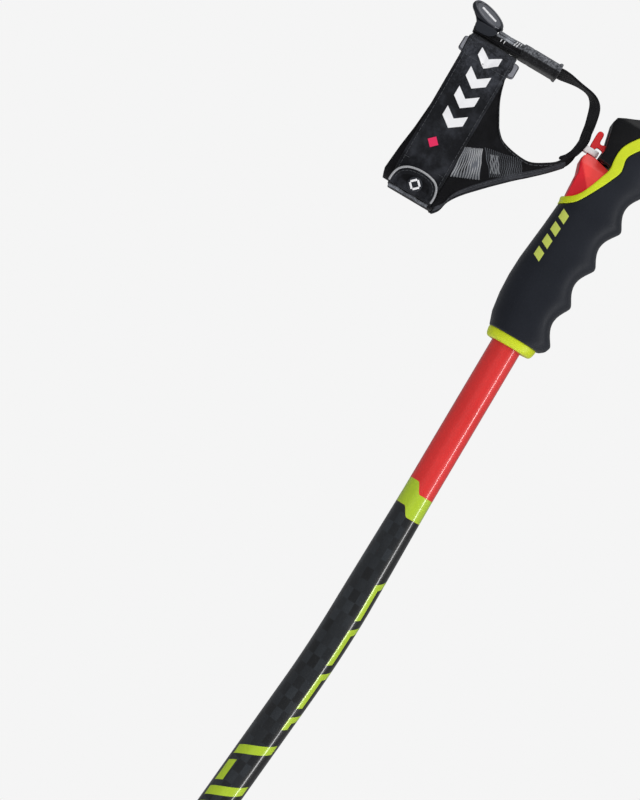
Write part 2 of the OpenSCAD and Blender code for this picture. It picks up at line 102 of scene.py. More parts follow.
# %% [markdown]
# ## One way to make a surface
# Nearly every piece is a grid: rows of points, each row one section of the piece. `grid_mesh` joins
# the rows with four-sided faces, closes the ends, and turns the whole shell the right way round by
# the sign of its volume. A grid keeps its rows and columns, so it can carry a UV map in real
# distances, and the cloth's weave can follow it.

# %% Grid meshes
UV_UNIT = 10.0  # one unit of a UV map is a centimetre


def grid_faces(rows, cols, wrap_rows, wrap_cols):
    """The four corners of each face of a grid whose points are numbered row by row."""
    i = np.arange(rows if wrap_rows else rows - 1)[:, None]
    j = np.arange(cols if wrap_cols else cols - 1)[None, :]
    below, right = (i + 1) % rows, (j + 1) % cols
    return np.stack([i * cols + j, i * cols + right, below * cols + right, below * cols + j], -1)


def signed_volume(points, faces):
    """Six times the volume under triangles fanned from each face's first corner, over six."""
    a, b, c, d = (points[faces[:, k]] for k in range(4))
    return float((a * (np.cross(b, c) + np.cross(c, d))).sum() / 6)


def running_length(points, axis):
    """Distance covered along an axis of a grid of points, averaged over the other one, with the
    step back to the start as its last value."""
    step = np.linalg.norm(np.roll(points, -1, axis) - points, axis=-1)
    return np.concatenate([[0], np.cumsum(step.mean(1 - axis))])


def grid_mesh(name, grids, wrap_rows=False, wrap_cols=True, cap=True, shared=True, uv_grid=None):
    """One object from one or more grids of points (rows, columns, 3) in the grip's frame. A grid
    whose rows don't wrap round gets a flat face over its first and its last row. The UV map holds
    distances along columns and rows, or uv_grid where that is given."""
    points, faces, uvs, start = [], [], [], 0
    for grid in grids:
        rows, cols = grid.shape[:2]
        flat = to_row(grid).reshape(-1, 3) if shared else np.asarray(grid).reshape(-1, 3)
        quads = grid_faces(rows, cols, wrap_rows, wrap_cols)
        u = running_length(grid, 1) / UV_UNIT
        v = running_length(grid, 0) / UV_UNIT
        n_rows, n_cols = quads.shape[:2]
        uv = np.stack(np.meshgrid(u[:n_cols + 1], v[:n_rows + 1]), -1) if uv_grid is None else uv_grid
        corner = np.stack([uv[:-1, :-1], uv[:-1, 1:], uv[1:, 1:], uv[1:, :-1]], 2)
        quads = quads.reshape(-1, 4)
        inside_out = signed_volume(flat, quads) < 0 if cap or wrap_rows else False
        ends = [] if (wrap_rows or not cap) else [
            np.arange(cols)[::-1], np.arange(cols) + (rows - 1) * cols]
        corner = corner.reshape(-1, 4, 2)
        if inside_out:
            quads, corner, ends = quads[:, ::-1], corner[:, ::-1], [e[::-1] for e in ends]
        points.append(flat)
        faces += (quads + start).tolist() + [(e + start).tolist() for e in ends]
        uvs.append(corner.reshape(-1, 2))
        uvs += [np.tile(uv[0, 0], (len(e), 1)) for e in ends]
        start += len(flat)
    mesh = bpy.data.meshes.new(name)
    mesh.from_pydata(np.concatenate(points).tolist(), [], faces)
    layer = mesh.uv_layers.new(name="weave")
    layer.data.foreach_set("uv", np.concatenate(uvs).astype(np.float32).ravel())
    smooth = np.array([len(f) == 4 for f in faces])
    mesh.polygons.foreach_set("use_smooth", smooth)
    mesh.update()
    piece = bpy.data.objects.new(name, mesh)
    bpy.context.scene.collection.objects.link(piece)
    return piece


def settle(piece):
    """Applies a piece's modifiers to its mesh."""
    graph = bpy.context.evaluated_depsgraph_get()
    mesh = bpy.data.meshes.new_from_object(piece.evaluated_get(graph))
    piece.modifiers.clear()
    piece.data = mesh
    return piece


def place(piece, body, slot, finish, *nodes):
    """Rides a piece on its body, hides the CAD nodes that it stands for, and gives its finish."""
    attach(piece, body)
    if nodes:
        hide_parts(*nodes)
    piece.data.materials.clear()
    piece.data.materials.append(finish)
    print(f"{piece.name}: {len(piece.data.polygons)} faces, on {body}")
    return piece


# %% [markdown]
# ## Camera, light and ground
# The camera looks level at the strap side of the grip through a long lens, rolled so that the pole
# leans to the right. Broad panels in front and behind give an even light. Glossy surfaces mirror
# only the tall narrow strip at the side, which draws the bright line down the shaft, and the panel
# overhead. The ground is a plain pale disc under the tip. The room is bright where the camera looks
# and darker where surfaces look, so that black rubber stays black.

# %% Camera
ROLL = np.radians(30.64)
LOOK_AT = to_row([-66.38, 0, -62.57])
CAMERA_DISTANCE = 1.5
LENS, SENSOR = 135.0, 36.0
right_hand = Vector((np.cos(ROLL), 0, np.sin(ROLL)))
overhead = Vector((-np.sin(ROLL), 0, np.cos(ROLL)))
camera_data = bpy.data.cameras.new("camera")
camera_data.lens, camera_data.sensor_width = LENS, SENSOR
camera = bpy.data.objects.new("camera", camera_data)
turn = Matrix((right_hand, overhead, right_hand.cross(overhead))).transposed()
stand = Vector(LOOK_AT) + Vector((0, -CAMERA_DISTANCE, 0))
camera.matrix_world = Matrix.Translation(stand) @ turn.to_4x4()
bpy.context.scene.collection.objects.link(camera)
bpy.context.scene.camera = camera
bpy.context.scene.view_settings.view_transform = "Standard"
print("view is", round(CAMERA_DISTANCE * SENSOR / LENS, 3), "m high")


# %% Lights
def panel(name, azimuth, height, distance, width, tall, power, mirrored_in=False, aim=LOOK_AT):
    """A rectangular light aimed at a point of the pole. It stands at a distance from that point, at
    an azimuth from the camera's side in degrees towards +X, and at a height over it. Glossy
    surfaces show its image only where mirrored_in is set."""
    a = np.radians(azimuth)
    where = Vector((aim[0] + distance * np.sin(a), aim[1] - distance * np.cos(a), aim[2] + height))
    data = bpy.data.lights.new(name, "AREA")
    data.shape, data.size, data.size_y, data.energy = "RECTANGLE", width, tall, power
    light = bpy.data.objects.new(name, data)
    light.location = where
    light.rotation_mode = "QUATERNION"
    light.rotation_quaternion = (Vector(aim) - where).to_track_quat("-Z", "Y")
    light.visible_camera = False
    light.visible_glossy = mirrored_in
    bpy.context.scene.collection.objects.link(light)
    return light


panel("front_panel", -4, 0.25, 1.7, 1.3, 1.7, 16)
panel("side_strip", 68, 0.0, 1.4, 0.16, 1.9, 10, mirrored_in=True)
panel("rear_panel", -150, 0.3, 1.7, 1.2, 1.5, 13)
panel("top_panel", 10, 1.6, 0.5, 1.2, 1.2, 9, mirrored_in=True)

# %% Room and ground
ROOM_SEEN = (0.913, 0.913, 0.913, 1)
ROOM_FELT = (0.21, 0.213, 0.22, 1)
world = bpy.data.worlds.new("room")
bpy.context.scene.world = world
world.use_nodes = True
nodes, links = world.node_tree.nodes, world.node_tree.links
nodes.clear()
seen, felt = nodes.new("ShaderNodeBackground"), nodes.new("ShaderNodeBackground")
seen.inputs["Color"].default_value = ROOM_SEEN
felt.inputs["Color"].default_value = ROOM_FELT
which, both, out = (nodes.new(f"ShaderNode{k}") for k in ("LightPath", "MixShader", "OutputWorld"))
links.new(which.outputs["Is Camera Ray"], both.inputs[0])
links.new(felt.outputs[0], both.inputs[1])
links.new(seen.outputs[0], both.inputs[2])
links.new(both.outputs[0], out.inputs["Surface"])
GROUND_R, GROUND_THICK = 2.2, 0.01
turns = np.linspace(0, 2 * np.pi, 97)[:-1]
rim_line = np.stack([GROUND_R * np.cos(turns), GROUND_R * np.sin(turns), 0 * turns], -1)
rings = np.stack([rim_line - [0, 0, GROUND_THICK], rim_line * [1, 1, 0]])
ground = grid_mesh("ground", [rings], shared=False)

# %% [markdown]
# ## Finishes
# A finish is a small node tree. The helper below adds nodes by their meaning, so that each finish
# reads as a recipe: where the pattern lives, how its colour varies, how rough it is, and what the
# surface does at the scale of a fingernail. Patterns read Object coordinates, which never slide
# because every piece's object stays at the origin, or the piece's own UV map in centimetres.


# %% A recipe for a finish
def linear(r, g, b):
    """A colour seen on a screen, 0 to 255 for each channel, as linear light."""
    c = np.array([r, g, b]) / 255
    return (*np.where(c <= 0.04045, c / 12.92, ((c + 0.055) / 1.055) ** 2.4), 1)


class Finish:
    """A material in the making. Each method adds a node and gives back its output."""

    def __init__(self, name, color, roughness, **sockets):
        self.material = bpy.data.materials.new(name)
        self.material.use_nodes = True
        self.tree = self.material.node_tree
        self.shader = self.tree.nodes["Principled BSDF"]
        self.shader.inputs["Base Color"].default_value = color
        self.shader.inputs["Roughness"].default_value = roughness
        for socket, value in sockets.items():
            self.shader.inputs[socket.replace("_", " ")].default_value = value

    def node(self, kind, *inputs, out=0, **settings):
        made = self.tree.nodes.new(f"ShaderNode{kind}")
        for key, value in settings.items():
            setattr(made, key, value)
        for k, value in enumerate(inputs):
            if isinstance(value, bpy.types.NodeSocket):
                self.tree.links.new(value, made.inputs[k])
            elif value is not None:
                made.inputs[k].default_value = value
        return made.outputs[out]

    def math(self, what, *inputs, clamp=False):
        return self.node("Math", *inputs, operation=what, use_clamp=clamp)

    def place(self, center=(0, 0, 0), turn=(0, 0, 0), scale=(1000, 1000, 1000)):
        """Object coordinates about a point of the shared frame, turned, and in millimetres."""
        where = self.node("TexCoord", out=3)
        moved = self.node("VectorMath", where, tuple(float(c) for c in center), operation="SUBTRACT")
        return self.node("Mapping", moved, (0, 0, 0), tuple(np.radians(turn)), scale)

    def cloth_map(self):
        return self.node("UVMap", uv_map="weave")

    def parts(self, vector):
        made = self.node("SeparateXYZ", vector).node
        return made.outputs

    def noise(self, vector, scale, detail=2.0, rough=0.5):
        return self.node("TexNoise", vector, None, scale, detail, rough)

    def span(self, value, low, high, to_low=0.0, to_high=1.0):
        """A value's range from low to high carried smoothly to another range."""
        return self.node("MapRange", value, low, high, to_low, to_high, interpolation_type="SMOOTHSTEP")

    def mix(self, share, a, b):
        made = self.tree.nodes.new("ShaderNodeMix")
        made.data_type = "RGBA"
        for k, value in zip((0, 6, 7), (share, a, b)):
            if isinstance(value, bpy.types.NodeSocket):
                self.tree.links.new(value, made.inputs[k])
            else:
                made.inputs[k].default_value = value
        return made.outputs[2]

    def between(self, value, low, high, soft):
        """1 where a value lies between two limits, 0 elsewhere, with soft edges."""
        up = self.span(value, low - soft, low + soft)
        down = self.span(value, high - soft, high + soft, 1.0, 0.0)
        return self.math("MULTIPLY", up, down)

    def color(self, value):
        self.tree.links.new(value, self.shader.inputs["Base Color"])

    def roughness(self, value):
        self.tree.links.new(value, self.shader.inputs["Roughness"])

    def bump(self, height, distance_mm, strength=1.0):
        made = self.tree.nodes.new("ShaderNodeBump")
        made.inputs["Strength"].default_value = strength
        made.inputs["Distance"].default_value = distance_mm * MM
        self.tree.links.new(height, made.inputs["Height"])
        self.tree.links.new(made.outputs[0], self.shader.inputs["Normal"])
        return made


def shade(color, factor):
    """A colour made darker or lighter by a factor."""
    return (*(min(1.0, c * factor) for c in color[:3]), 1)


# %% [markdown]
# Moulded parts have a faint orange-peel, a speckle of dust and rubbed places. `moulded` gives all of
# that from three sizes of noise, and differs from part to part only in its colour and its numbers.


# %% Moulded plastic, rubber and metal
def moulded(name, color, roughness, grain=0.35, grain_mm=0.03, wear=0.12, **sockets):
    """Plastic or rubber: slow patches of colour, a fine grain in relief, and rubbed spots."""
    f = Finish(name, color, roughness, **sockets)
    at = f.place()
    slow = f.noise(at, 0.06, 3.0)
    fine = f.noise(at, 1.0 / grain, 3.0, 0.6)
    rubbed = f.span(f.noise(at, 0.22, 4.0, 0.65), 0.52, 0.72)
    f.color(f.mix(f.math("MULTIPLY", rubbed, wear), f.mix(slow, shade(color, 0.82), shade(color, 1.16)),
                  shade(color, 1.9)))
    f.roughness(f.math("ADD", f.span(slow, 0.3, 0.7, roughness - 0.06, roughness + 0.06),
                       f.math("MULTIPLY", rubbed, 0.10)))
    f.bump(fine, grain_mm)
    return f


def metal(name, color, roughness, turned_mm=0.25):
    """Bare metal: fine rings of turning and a brushed grain, rougher in patches."""
    f = Finish(name, color, roughness, Metallic=1.0)
    at = f.place()
    lines = f.noise(f.node("Mapping", at, (0, 0, 0), (0, 0, 0), (0.3, 0.3, 1 / turned_mm)), 1.0, 2.0)
    patches = f.noise(at, 0.5, 3.0)
    f.color(f.mix(patches, shade(color, 0.8), shade(color, 1.15)))
    f.roughness(f.span(patches, 0.3, 0.7, roughness - 0.07, roughness + 0.12))
    f.bump(lines, 0.01)
    return f


LIME = linear(172, 200, 38)
TRIM_LIME = linear(200, 214, 30)
RED = linear(215, 42, 40)
BLACK = linear(13, 13, 15)
RUBBER = linear(27, 30, 37)
STEEL = linear(176, 178, 182)

lime_plastic = moulded("lime_plastic", LIME, 0.42, wear=0.08)
trim_plastic = moulded("trim_plastic", TRIM_LIME, 0.38, wear=0.08)
red_plastic = moulded("red_plastic", linear(226, 40, 44), 0.4, wear=0.05)
black_plastic = moulded("black_plastic", BLACK, 0.42, wear=0.10, Specular_IOR_Level=0.3)
white_plastic = moulded("white_plastic", linear(246, 246, 245), 0.35, wear=0.0)
carbide = metal("carbide", linear(120, 122, 128), 0.34)
steel = metal("steel", STEEL, 0.28)
rubber_plain = moulded("rubber_plain", RUBBER, 0.55, grain=0.5, grain_mm=0.05, wear=0.06)

# %% [markdown]
# ### Shaft paint
# One coat of lacquer runs from the grip to the ferrule, so one finish paints the whole tube. The tube's
# UV map says how far round (in centimetres from the front of the strap side) and how far down from the
# grip's datum a point lies. Red gives way to a lime ring with a stepped edge, then to a carbon look, and
# further down to red again. The carbon is a check of fibres that shine in two directions, painted as
# lighter and darker cells. On the carbon's side towards the fingers, painted shade turns it nearly black.
# The printed marks are plain slanted bars and squares.

# %% Shaft paint
CARBON_TO = 470.0
CELL_ROUND, CELL_DOWN = 4.1, 6.4
f = Finish("shaft_paint", RED, 0.34, Coat_Weight=0.85, Coat_Roughness=0.06)
around, down, _ = f.parts(f.cloth_map())
around = f.math("MULTIPLY", around, UV_UNIT)
down = f.math("MULTIPLY", down, UV_UNIT)
at = f.place()
cloud = f.noise(at, 0.035, 3.0)
speck = f.noise(at, 6.0, 2.0)
red = f.mix(cloud, shade(RED, 0.90), shade(RED, 1.08))
step_in_edge = f.span(around, -4.2, 0.6)
ring_top = f.math("SUBTRACT", f.math("MULTIPLY_ADD", step_in_edge, 5.7, 72.3), down)
ring_foot = f.math("SUBTRACT", f.math("MULTIPLY_ADD", step_in_edge, 5.0, 86.0), down)
in_ring = f.math("MULTIPLY", f.span(ring_top, 0.15, -0.15), f.span(ring_foot, -0.15, 0.15))
past_ring = f.span(ring_foot, 0.15, -0.15)
cell_a = f.math("FLOOR", f.math("DIVIDE", around, CELL_ROUND))
cell_b = f.math("FLOOR", f.math("DIVIDE", down, CELL_DOWN))
odd = f.math("PINGPONG", f.math("ADD", cell_a, cell_b), 1.0)
fibre_a = f.noise(f.node("CombineXYZ", f.math("MULTIPLY", around, 9.0), down, 0.0), 1.0, 2.0)
fibre_b = f.noise(f.node("CombineXYZ", around, f.math("MULTIPLY", down, 9.0), 0.0), 1.0, 2.0)
fibres = f.math("ADD", f.math("MULTIPLY", odd, fibre_a),
                f.math("MULTIPLY", f.math("SUBTRACT", 1.0, odd), fibre_b))
cell_tone = f.node("TexWhiteNoise", f.node("CombineXYZ", cell_a, cell_b, 0.0), noise_dimensions="3D")
# Partly painted reflection: alternate cells of the check are lighter, as fibres laid two ways shine
# differently, and each cell's tone also varies at random.
tone = f.math("ADD", f.math("MULTIPLY", odd, 0.4), f.math("MULTIPLY", cell_tone, 0.5))
tone = f.math("MULTIPLY", tone, f.span(fibres, 0.25, 0.75, 0.6, 1.2))
# Painted shade: from 2.2 to 4.2 mm round from the front of the strap side onwards, the carbon turns
# nearly black.
painted_shade_side = f.span(around, 2.2, 4.2)
carbon = f.mix(tone, linear(7, 9, 12), linear(40, 45, 50))
carbon = f.mix(painted_shade_side, carbon, linear(3, 3, 4))
SLANT, EDGE = 0.55, 0.12  # the slope of the slanted marks, and half the blur of a printed edge
EDGE_FROM, EDGE_TO, EDGE_PITCH = 130.0, 216.0, 26.0
WIDE_FROM, WIDE_TO, WIDE_PITCH, BLOCK_TO = 226.0, 308.0, 25.0, 304.0
slanted = f.math("MULTIPLY_ADD", around, SLANT, down)
edge_dash = f.math("MODULO", f.math("SUBTRACT", slanted, EDGE_FROM), EDGE_PITCH)
edge_bar = f.math("MULTIPLY", f.between(around, 4.4, 12.4, EDGE), f.between(edge_dash, 0.3, 21.0, EDGE))
notch = f.math("MULTIPLY", f.between(around, 7.6, 13.0, EDGE), f.between(edge_dash, 4.2, 21.5, EDGE))
edge_bar = f.math("MULTIPLY", edge_bar, f.math("SUBTRACT", 1.0, notch))
edge_bar = f.math("MULTIPLY", edge_bar, f.between(slanted, EDGE_FROM, EDGE_TO, EDGE))
wide_dash = f.math("MODULO", f.math("SUBTRACT", slanted, WIDE_FROM), WIDE_PITCH)
wide_bar = f.math("MULTIPLY", f.between(around, -9.5, 9.0, EDGE), f.between(wide_dash, 0.3, 5.6, EDGE))
wide_bar = f.math("MULTIPLY", wide_bar, f.between(slanted, WIDE_FROM, WIDE_TO, EDGE))
side_block = f.math("MULTIPLY", f.between(around, -9.5, -5.0, EDGE),
                    f.between(wide_dash, 9.4, 21.6, EDGE))
side_block = f.math("MULTIPLY", side_block, f.between(slanted, WIDE_FROM, BLOCK_TO, EDGE))
bars = f.math("MAXIMUM", edge_bar, f.math("MAXIMUM", wide_bar, side_block))
upper = f.mix(past_ring, red, carbon)
lime_paint = f.mix(cloud, shade(LIME, 0.94), shade(LIME, 1.07))
upper = f.mix(f.math("MAXIMUM", in_ring, bars), upper, lime_paint)
MARKS = ((0.4, 4.6, 684, 730), (5.2, 8.2, 684, 724), (0.4, 8.2, 735, 743), (0.4, 3.2, 750, 768),
         (0.0, 8.2, 775, 783), (2.4, 7.6, 806, 810.5))
marked = None
for a0, a1, d0, d1 in MARKS:
    box = f.math("MULTIPLY", f.between(around, a0, a1, 0.15), f.between(down, d0, d1, 0.15))
    marked = box if marked is None else f.math("MAXIMUM", marked, box)
lower = f.mix(marked, red, linear(150, 16, 30))
whole = f.mix(f.span(down, CARBON_TO - 0.15, CARBON_TO + 0.15), upper, lower)
f.color(f.mix(f.math("MULTIPLY", f.span(speck, 0.66, 0.8), 0.10), whole, linear(245, 235, 230)))
f.roughness(f.span(cloud, 0.3, 0.7, 0.28, 0.40))
fibre_relief = f.math("MULTIPLY", fibres, f.math("MULTIPLY", past_ring, 0.4))
f.bump(f.math("ADD", f.noise(at, 0.7, 2.0), fibre_relief), 0.012)
shaft_paint = f

# %% [markdown]
# ### Grip rubber
# The grip is a soft rubber with a matt skin that was spark-eroded into the mould: a fine stipple.
# Four short slanted bars are printed on its strap side. They are masked by Object coordinates about
# the grip's datum, on the half of the grip that looks to -Y.

# %% Grip rubber
f = Finish("grip_rubber", RUBBER, 0.5, Sheen_Weight=0.05, Sheen_Roughness=0.5, Specular_IOR_Level=0.24)
at = f.place(DATUM)
x, y, z = f.parts(at)
stipple = f.node("TexVoronoi", at, None, 1.6, out=0)
patches = f.noise(at, 0.05, 3.0)
fine = f.noise(at, 2.5, 3.0, 0.6)
BAR_X, BAR_HALF, BAR_PITCH, BAR_LEN = -9.3, 2.1, 7.6, 5.0
BARS_FROM, BARS = 46.8, 4
lean_x = f.math("MULTIPLY_ADD", f.math("SUBTRACT", z, 68.0), -0.055, x)
rise = f.math("SUBTRACT", f.math("MULTIPLY_ADD", x, 0.55, z), BARS_FROM)
beat = f.math("MODULO", rise, BAR_PITCH)
bar = f.math("MULTIPLY", f.between(lean_x, BAR_X - BAR_HALF, BAR_X + BAR_HALF, 0.12),
             f.between(beat, 0.4, 0.4 + BAR_LEN, 0.12))
bar = f.math("MULTIPLY", bar, f.between(rise, 0.0, BARS * BAR_PITCH, 0.12))
bar = f.math("MULTIPLY", bar, f.span(y, 0.5, -0.5))
skin = f.mix(patches, shade(RUBBER, 0.72), shade(RUBBER, 1.22))
skin = f.mix(f.math("MULTIPLY", f.span(fine, 0.55, 0.75), 0.25), skin, shade(RUBBER, 2.2))
f.color(f.mix(bar, skin, linear(196, 208, 96)))
f.roughness(f.math("ADD", f.span(patches, 0.3, 0.7, 0.46, 0.58), f.math("MULTIPLY", bar, -0.1)))
f.bump(f.math("ADD", f.math("MULTIPLY", stipple, 0.4), f.math("MULTIPLY", bar, 1.6)), 0.06)
grip_rubber = f

# %% [markdown]
# ### Cloth and tape
# Woven cloth is a check of threads that pass over and under each other. For a thread pitch p, the
# height of one set is the sine of distance over p, and a checkerboard says which set is on top.
# The same recipe with a coarser pitch and a rib makes tape. Colour is lighter on the crowns of the
# threads and darker in the hollows between them, as painted light and shade of the weave, and it varies
# in slow patches, where the cloth is rubbed or creased. On the upper turn of the cuff, lighter spots are
# painted sheen, where the cloth curves up to the light.


# %% Woven finishes
def woven(name, color, pitch_mm, painted_crown_light=1.8, roughness=0.75, sheen=0.06, patch=0.35,
          relief_mm=0.12, stretch=1.0, sheen_heights=None, **sockets):
    """Cloth whose threads follow the piece's UV map; the crowns of the threads are painted lighter by a
    factor, as painted light, and the hollows darker, as painted shade; stretch makes one set of threads
    longer, and a pair of heights, where given, is where lighter spots of painted sheen begin to show."""
    f = Finish(name, color, roughness, Sheen_Weight=sheen, Sheen_Roughness=0.45,
               Specular_IOR_Level=0.12, **sockets)
    u, v, _ = f.parts(f.cloth_map())
    u = f.math("MULTIPLY", u, np.pi * UV_UNIT / pitch_mm)
    v = f.math("MULTIPLY", v, np.pi * UV_UNIT / (pitch_mm * stretch))
    warp, weft = f.math("SINE", u), f.math("SINE", v)
    over = f.span(f.math("MULTIPLY", warp, weft), -0.08, 0.08)
    warp, weft = f.math("ABSOLUTE", warp), f.math("ABSOLUTE", weft)
    height = f.math("ADD", f.math("MULTIPLY", over, warp),
                    f.math("MULTIPLY", f.math("SUBTRACT", 1.0, over), f.math("MULTIPLY", weft, 0.8)))
    at = f.place()
    patches = f.noise(at, 0.11, 4.0, 0.6)
    lint = f.noise(at, 3.0, 3.0, 0.7)
    # Painted light and shade of the weave: the crowns of the threads lighter, the hollows between them
    # darker.
    cloth = f.mix(f.math("MULTIPLY", height, 0.8), shade(color, 0.45), shade(color, painted_crown_light))
    rubbed = f.math("MULTIPLY", f.span(patches, 0.42, 0.72), patch)
    # Painted sheen: between the two heights, lighter spots fade in, where the cuff curves up to the
    # light.
    if sheen_heights:
        _, _, height_up = f.parts(f.place(DATUM))
        spots = f.span(f.noise(at, 0.5, 4.0, 0.75), 0.40, 0.66)
        rubbed = f.math("ADD", rubbed, f.math("MULTIPLY", f.span(height_up, *sheen_heights), spots))
    cloth = f.mix(rubbed, cloth, shade(color, 5.6))
    cloth = f.mix(f.math("MULTIPLY", f.span(lint, 0.66, 0.8), 0.3), cloth, shade(color, 4.5))
    f.cloth_color, f.cloth_height, f.at = cloth, height, at
    f.color(cloth)
    f.roughness(f.span(patches, 0.3, 0.7, roughness - 0.08, roughness + 0.08))
    f.bump(height, relief_mm)
    return f


CLOTH = linear(22, 23, 26)
# Painted sheen: lighter spots on the cuff from 96 mm up, at their full amount from 128 mm, on its upper
# turn.
cuff_cloth = woven("cuff_cloth", CLOTH, 0.55, relief_mm=0.07, patch=0.6, sheen_heights=(96.0, 128.0))
web_cloth = woven("web_cloth", linear(13, 13, 15), 0.5, relief_mm=0.06, patch=0.25)
tape = woven("tape", linear(17, 17, 19), 1.1, painted_crown_light=2.2, relief_mm=0.16, stretch=0.6)
grey_tape = woven("grey_tape", linear(74, 76, 80), 1.3, painted_crown_light=1.9, relief_mm=0.18, patch=0.5)
binding = woven("binding", linear(46, 47, 51), 0.8, painted_crown_light=1.8, relief_mm=0.1, patch=0.3)
piping_cord = woven("piping_cord", linear(178, 179, 182), 0.45, painted_crown_light=1.15, relief_mm=0.05,
                    patch=0.1)
thread = moulded("thread", linear(58, 60, 64), 0.6, grain=0.2, wear=0.2)
white_print = moulded("white_print", linear(233, 233, 235), 0.5, grain=0.4, grain_mm=0.03, wear=0.0)
pink_print = moulded("pink_print", linear(222, 36, 88), 0.5, grain=0.4, grain_mm=0.03, wear=0.0)
print(len(bpy.data.materials), "finishes so far")

# %% [markdown]
# ## The shaft
# The tube is drawn, bent twice and tapered at both ends. Its centre line is worked out the way the
# tube is bent: a straight neck, a bend towards the back of the hand, a straight, a longer bend the
# other way, and a straight to the tip. The two bends and the neck are known; the two straights are
# what is left over, two unknown lengths that bring the line to the tip. The rings are swept along
# that line, outside downwards and inside back up, so the tube has its real wall.

# %% Centre line of the shaft
NECK_FOOT = -140.0
UPPER_TURN, LOWER_TURN = np.radians(4.75), np.radians(13.0)
UPPER_BEND, LOWER_BEND = 650.0, 800.0
TUBE_TOP = 84.0


def along(a):
    """The direction up the pole where it leans by an angle."""
    return np.stack([np.sin(a), 0 * a, np.cos(a)], -1)


def across(a):
    """The direction to the front, square to the pole, where it leans by an angle."""
    return np.stack([np.cos(a), 0 * a, -np.sin(a)], -1)


LEAN = UPPER_TURN - LOWER_TURN
tip = (MOUNTS["carbide_tip"] - DATUM) / MM
bend_one = UPPER_BEND * (across(UPPER_TURN) - across(0.0))
bend_two = LOWER_BEND * (across(UPPER_TURN) - across(LEAN))
left_over = tip - np.array([0, 0, NECK_FOOT]) - bend_one - bend_two
straights = np.stack([-along(UPPER_TURN), -along(LEAN)], 1)[[0, 2]]
mid_len, lower_len = np.linalg.solve(straights, left_over[[0, 2]])
ARCS = (UPPER_BEND * UPPER_TURN, LOWER_BEND * LOWER_TURN)
marks = np.cumsum([0, -NECK_FOOT, ARCS[0], mid_len, ARCS[1], lower_len])
print("straights", mid_len.round(1), lower_len.round(1), "mm; datum to tip", marks[-1].round(1), "mm")


def shaft_lean(d):
    """The lean at a distance d below the datum: it changes evenly along each bend."""
    return np.interp(d, marks[1:5], [0, UPPER_TURN, UPPER_TURN, LEAN])


def shaft_line(d):
    """Points of the centre line at distances d below the datum, piece by piece."""
    a = shaft_lean(d)
    line = np.stack([0 * d, 0 * d, -np.minimum(d, marks[1])], -1)
    first = UPPER_BEND * (across(np.minimum(a, UPPER_TURN)) - across(0 * d))
    line = line + np.where(((d > marks[1]) & (d <= marks[2]))[:, None], first, 0)
    line = line + np.where((d > marks[2])[:, None], bend_one, 0)
    line = line - np.clip(d - marks[2], 0, mid_len)[:, None] * along(UPPER_TURN)
    second = LOWER_BEND * (across(UPPER_TURN + 0 * d) - across(a))
    line = line + np.where((d > marks[3])[:, None], second, 0)
    return line - np.maximum(d - marks[4], 0)[:, None] * along(LEAN)


# Radius of the tube by its distance below the datum
TIP_AT = marks[-1]
SHAFT_FOOT = 50.0
UPPER_R, BELLY_R, FOOT_R, WALL = 8.0, 8.98, 5.5, 1.2
RADII = np.array([
    [-TUBE_TOP, UPPER_R], [81.0, UPPER_R], [140.0, BELLY_R], [TIP_AT - 364, BELLY_R],
    [TIP_AT - 314, 8.55], [TIP_AT - 259, 7.6], [TIP_AT - 204, 6.7], [TIP_AT - 154, 6.0],
    [TIP_AT - 64.2, FOOT_R], [TIP_AT - SHAFT_FOOT, FOOT_R],
])

# %% Shaft tube
ROUND = np.linspace(-np.pi, np.pi, 65)


def rings_round(centres, out_dirs, radii, turns=ROUND[:-1]):
    """Rings about centres: the centre, plus the radius times the out direction and -Y turned."""
    front = np.array([0, -1.0, 0])
    ring = np.sin(turns)[None, :, None] * out_dirs[:, None] + np.cos(turns)[None, :, None] * front
    return centres[:, None] + radii[:, None, None] * ring


depth = np.unique(np.concatenate([np.linspace(-TUBE_TOP, TIP_AT - SHAFT_FOOT, 230), RADII[:, 0]]))
radius = np.interp(depth, RADII[:, 0], RADII[:, 1])
radius = np.convolve(np.pad(radius, 2, "edge"), np.ones(5) / 5, "valid")
outside = rings_round(shaft_line(depth), across(shaft_lean(depth)), radius)
inside = rings_round(shaft_line(depth), across(shaft_lean(depth)), radius - WALL)[::-1]
v = np.concatenate([depth, depth[::-1], depth[:1]])
uv_grid = np.stack(np.meshgrid(ROUND * 0.5 * (UPPER_R + BELLY_R), v), -1) / UV_UNIT
shaft = grid_mesh("shaft", [np.concatenate([outside, inside])], wrap_rows=True, uv_grid=uv_grid)
place(shaft, "pole", "shaft_paint", shaft_paint.material, "shaft_tube")

# %% [markdown]
# ## Tip, basket and ferrule
# Everything at the foot is turned or moulded round the shaft's axis, so each piece is a profile spun
# about it. A profile here is a closed loop of radius and height above the end of the tip; corners
# that a hand would feel are rounded by cutting each corner twice, a quarter of the way along.

# %% Turned pieces
def rounded(profile, passes=2, share=0.25):
    """A closed outline with its corners cut: each pass swaps a corner for two points, a share of
    the way along the sides that meet there, but no more than a set distance from the corner."""
    p = np.asarray(profile, float)
    for _ in range(passes):
        ahead = np.roll(p, -1, 0)
        gap = np.linalg.norm(ahead - p, axis=1, keepdims=True)
        cut = np.minimum(share, 0.7 / np.maximum(gap, 1e-9))
        p = np.stack([p + (ahead - p) * cut, ahead - (ahead - p) * cut], 1).reshape(-1, 2)
    return p


def spun(name, profile, passes=2, sides=72):
    """A closed profile of (radius, height above the tip) spun about the lower shaft's axis."""
    p = rounded(profile, passes)
    turns = np.linspace(-np.pi, np.pi, sides + 1)[:-1]
    up = along(LEAN)
    centres = tip + p[:, 1:2] * up
    return grid_mesh(name, [rings_round(centres, np.tile(across(LEAN), (len(p), 1)), p[:, 0], turns)],
                     wrap_rows=True)


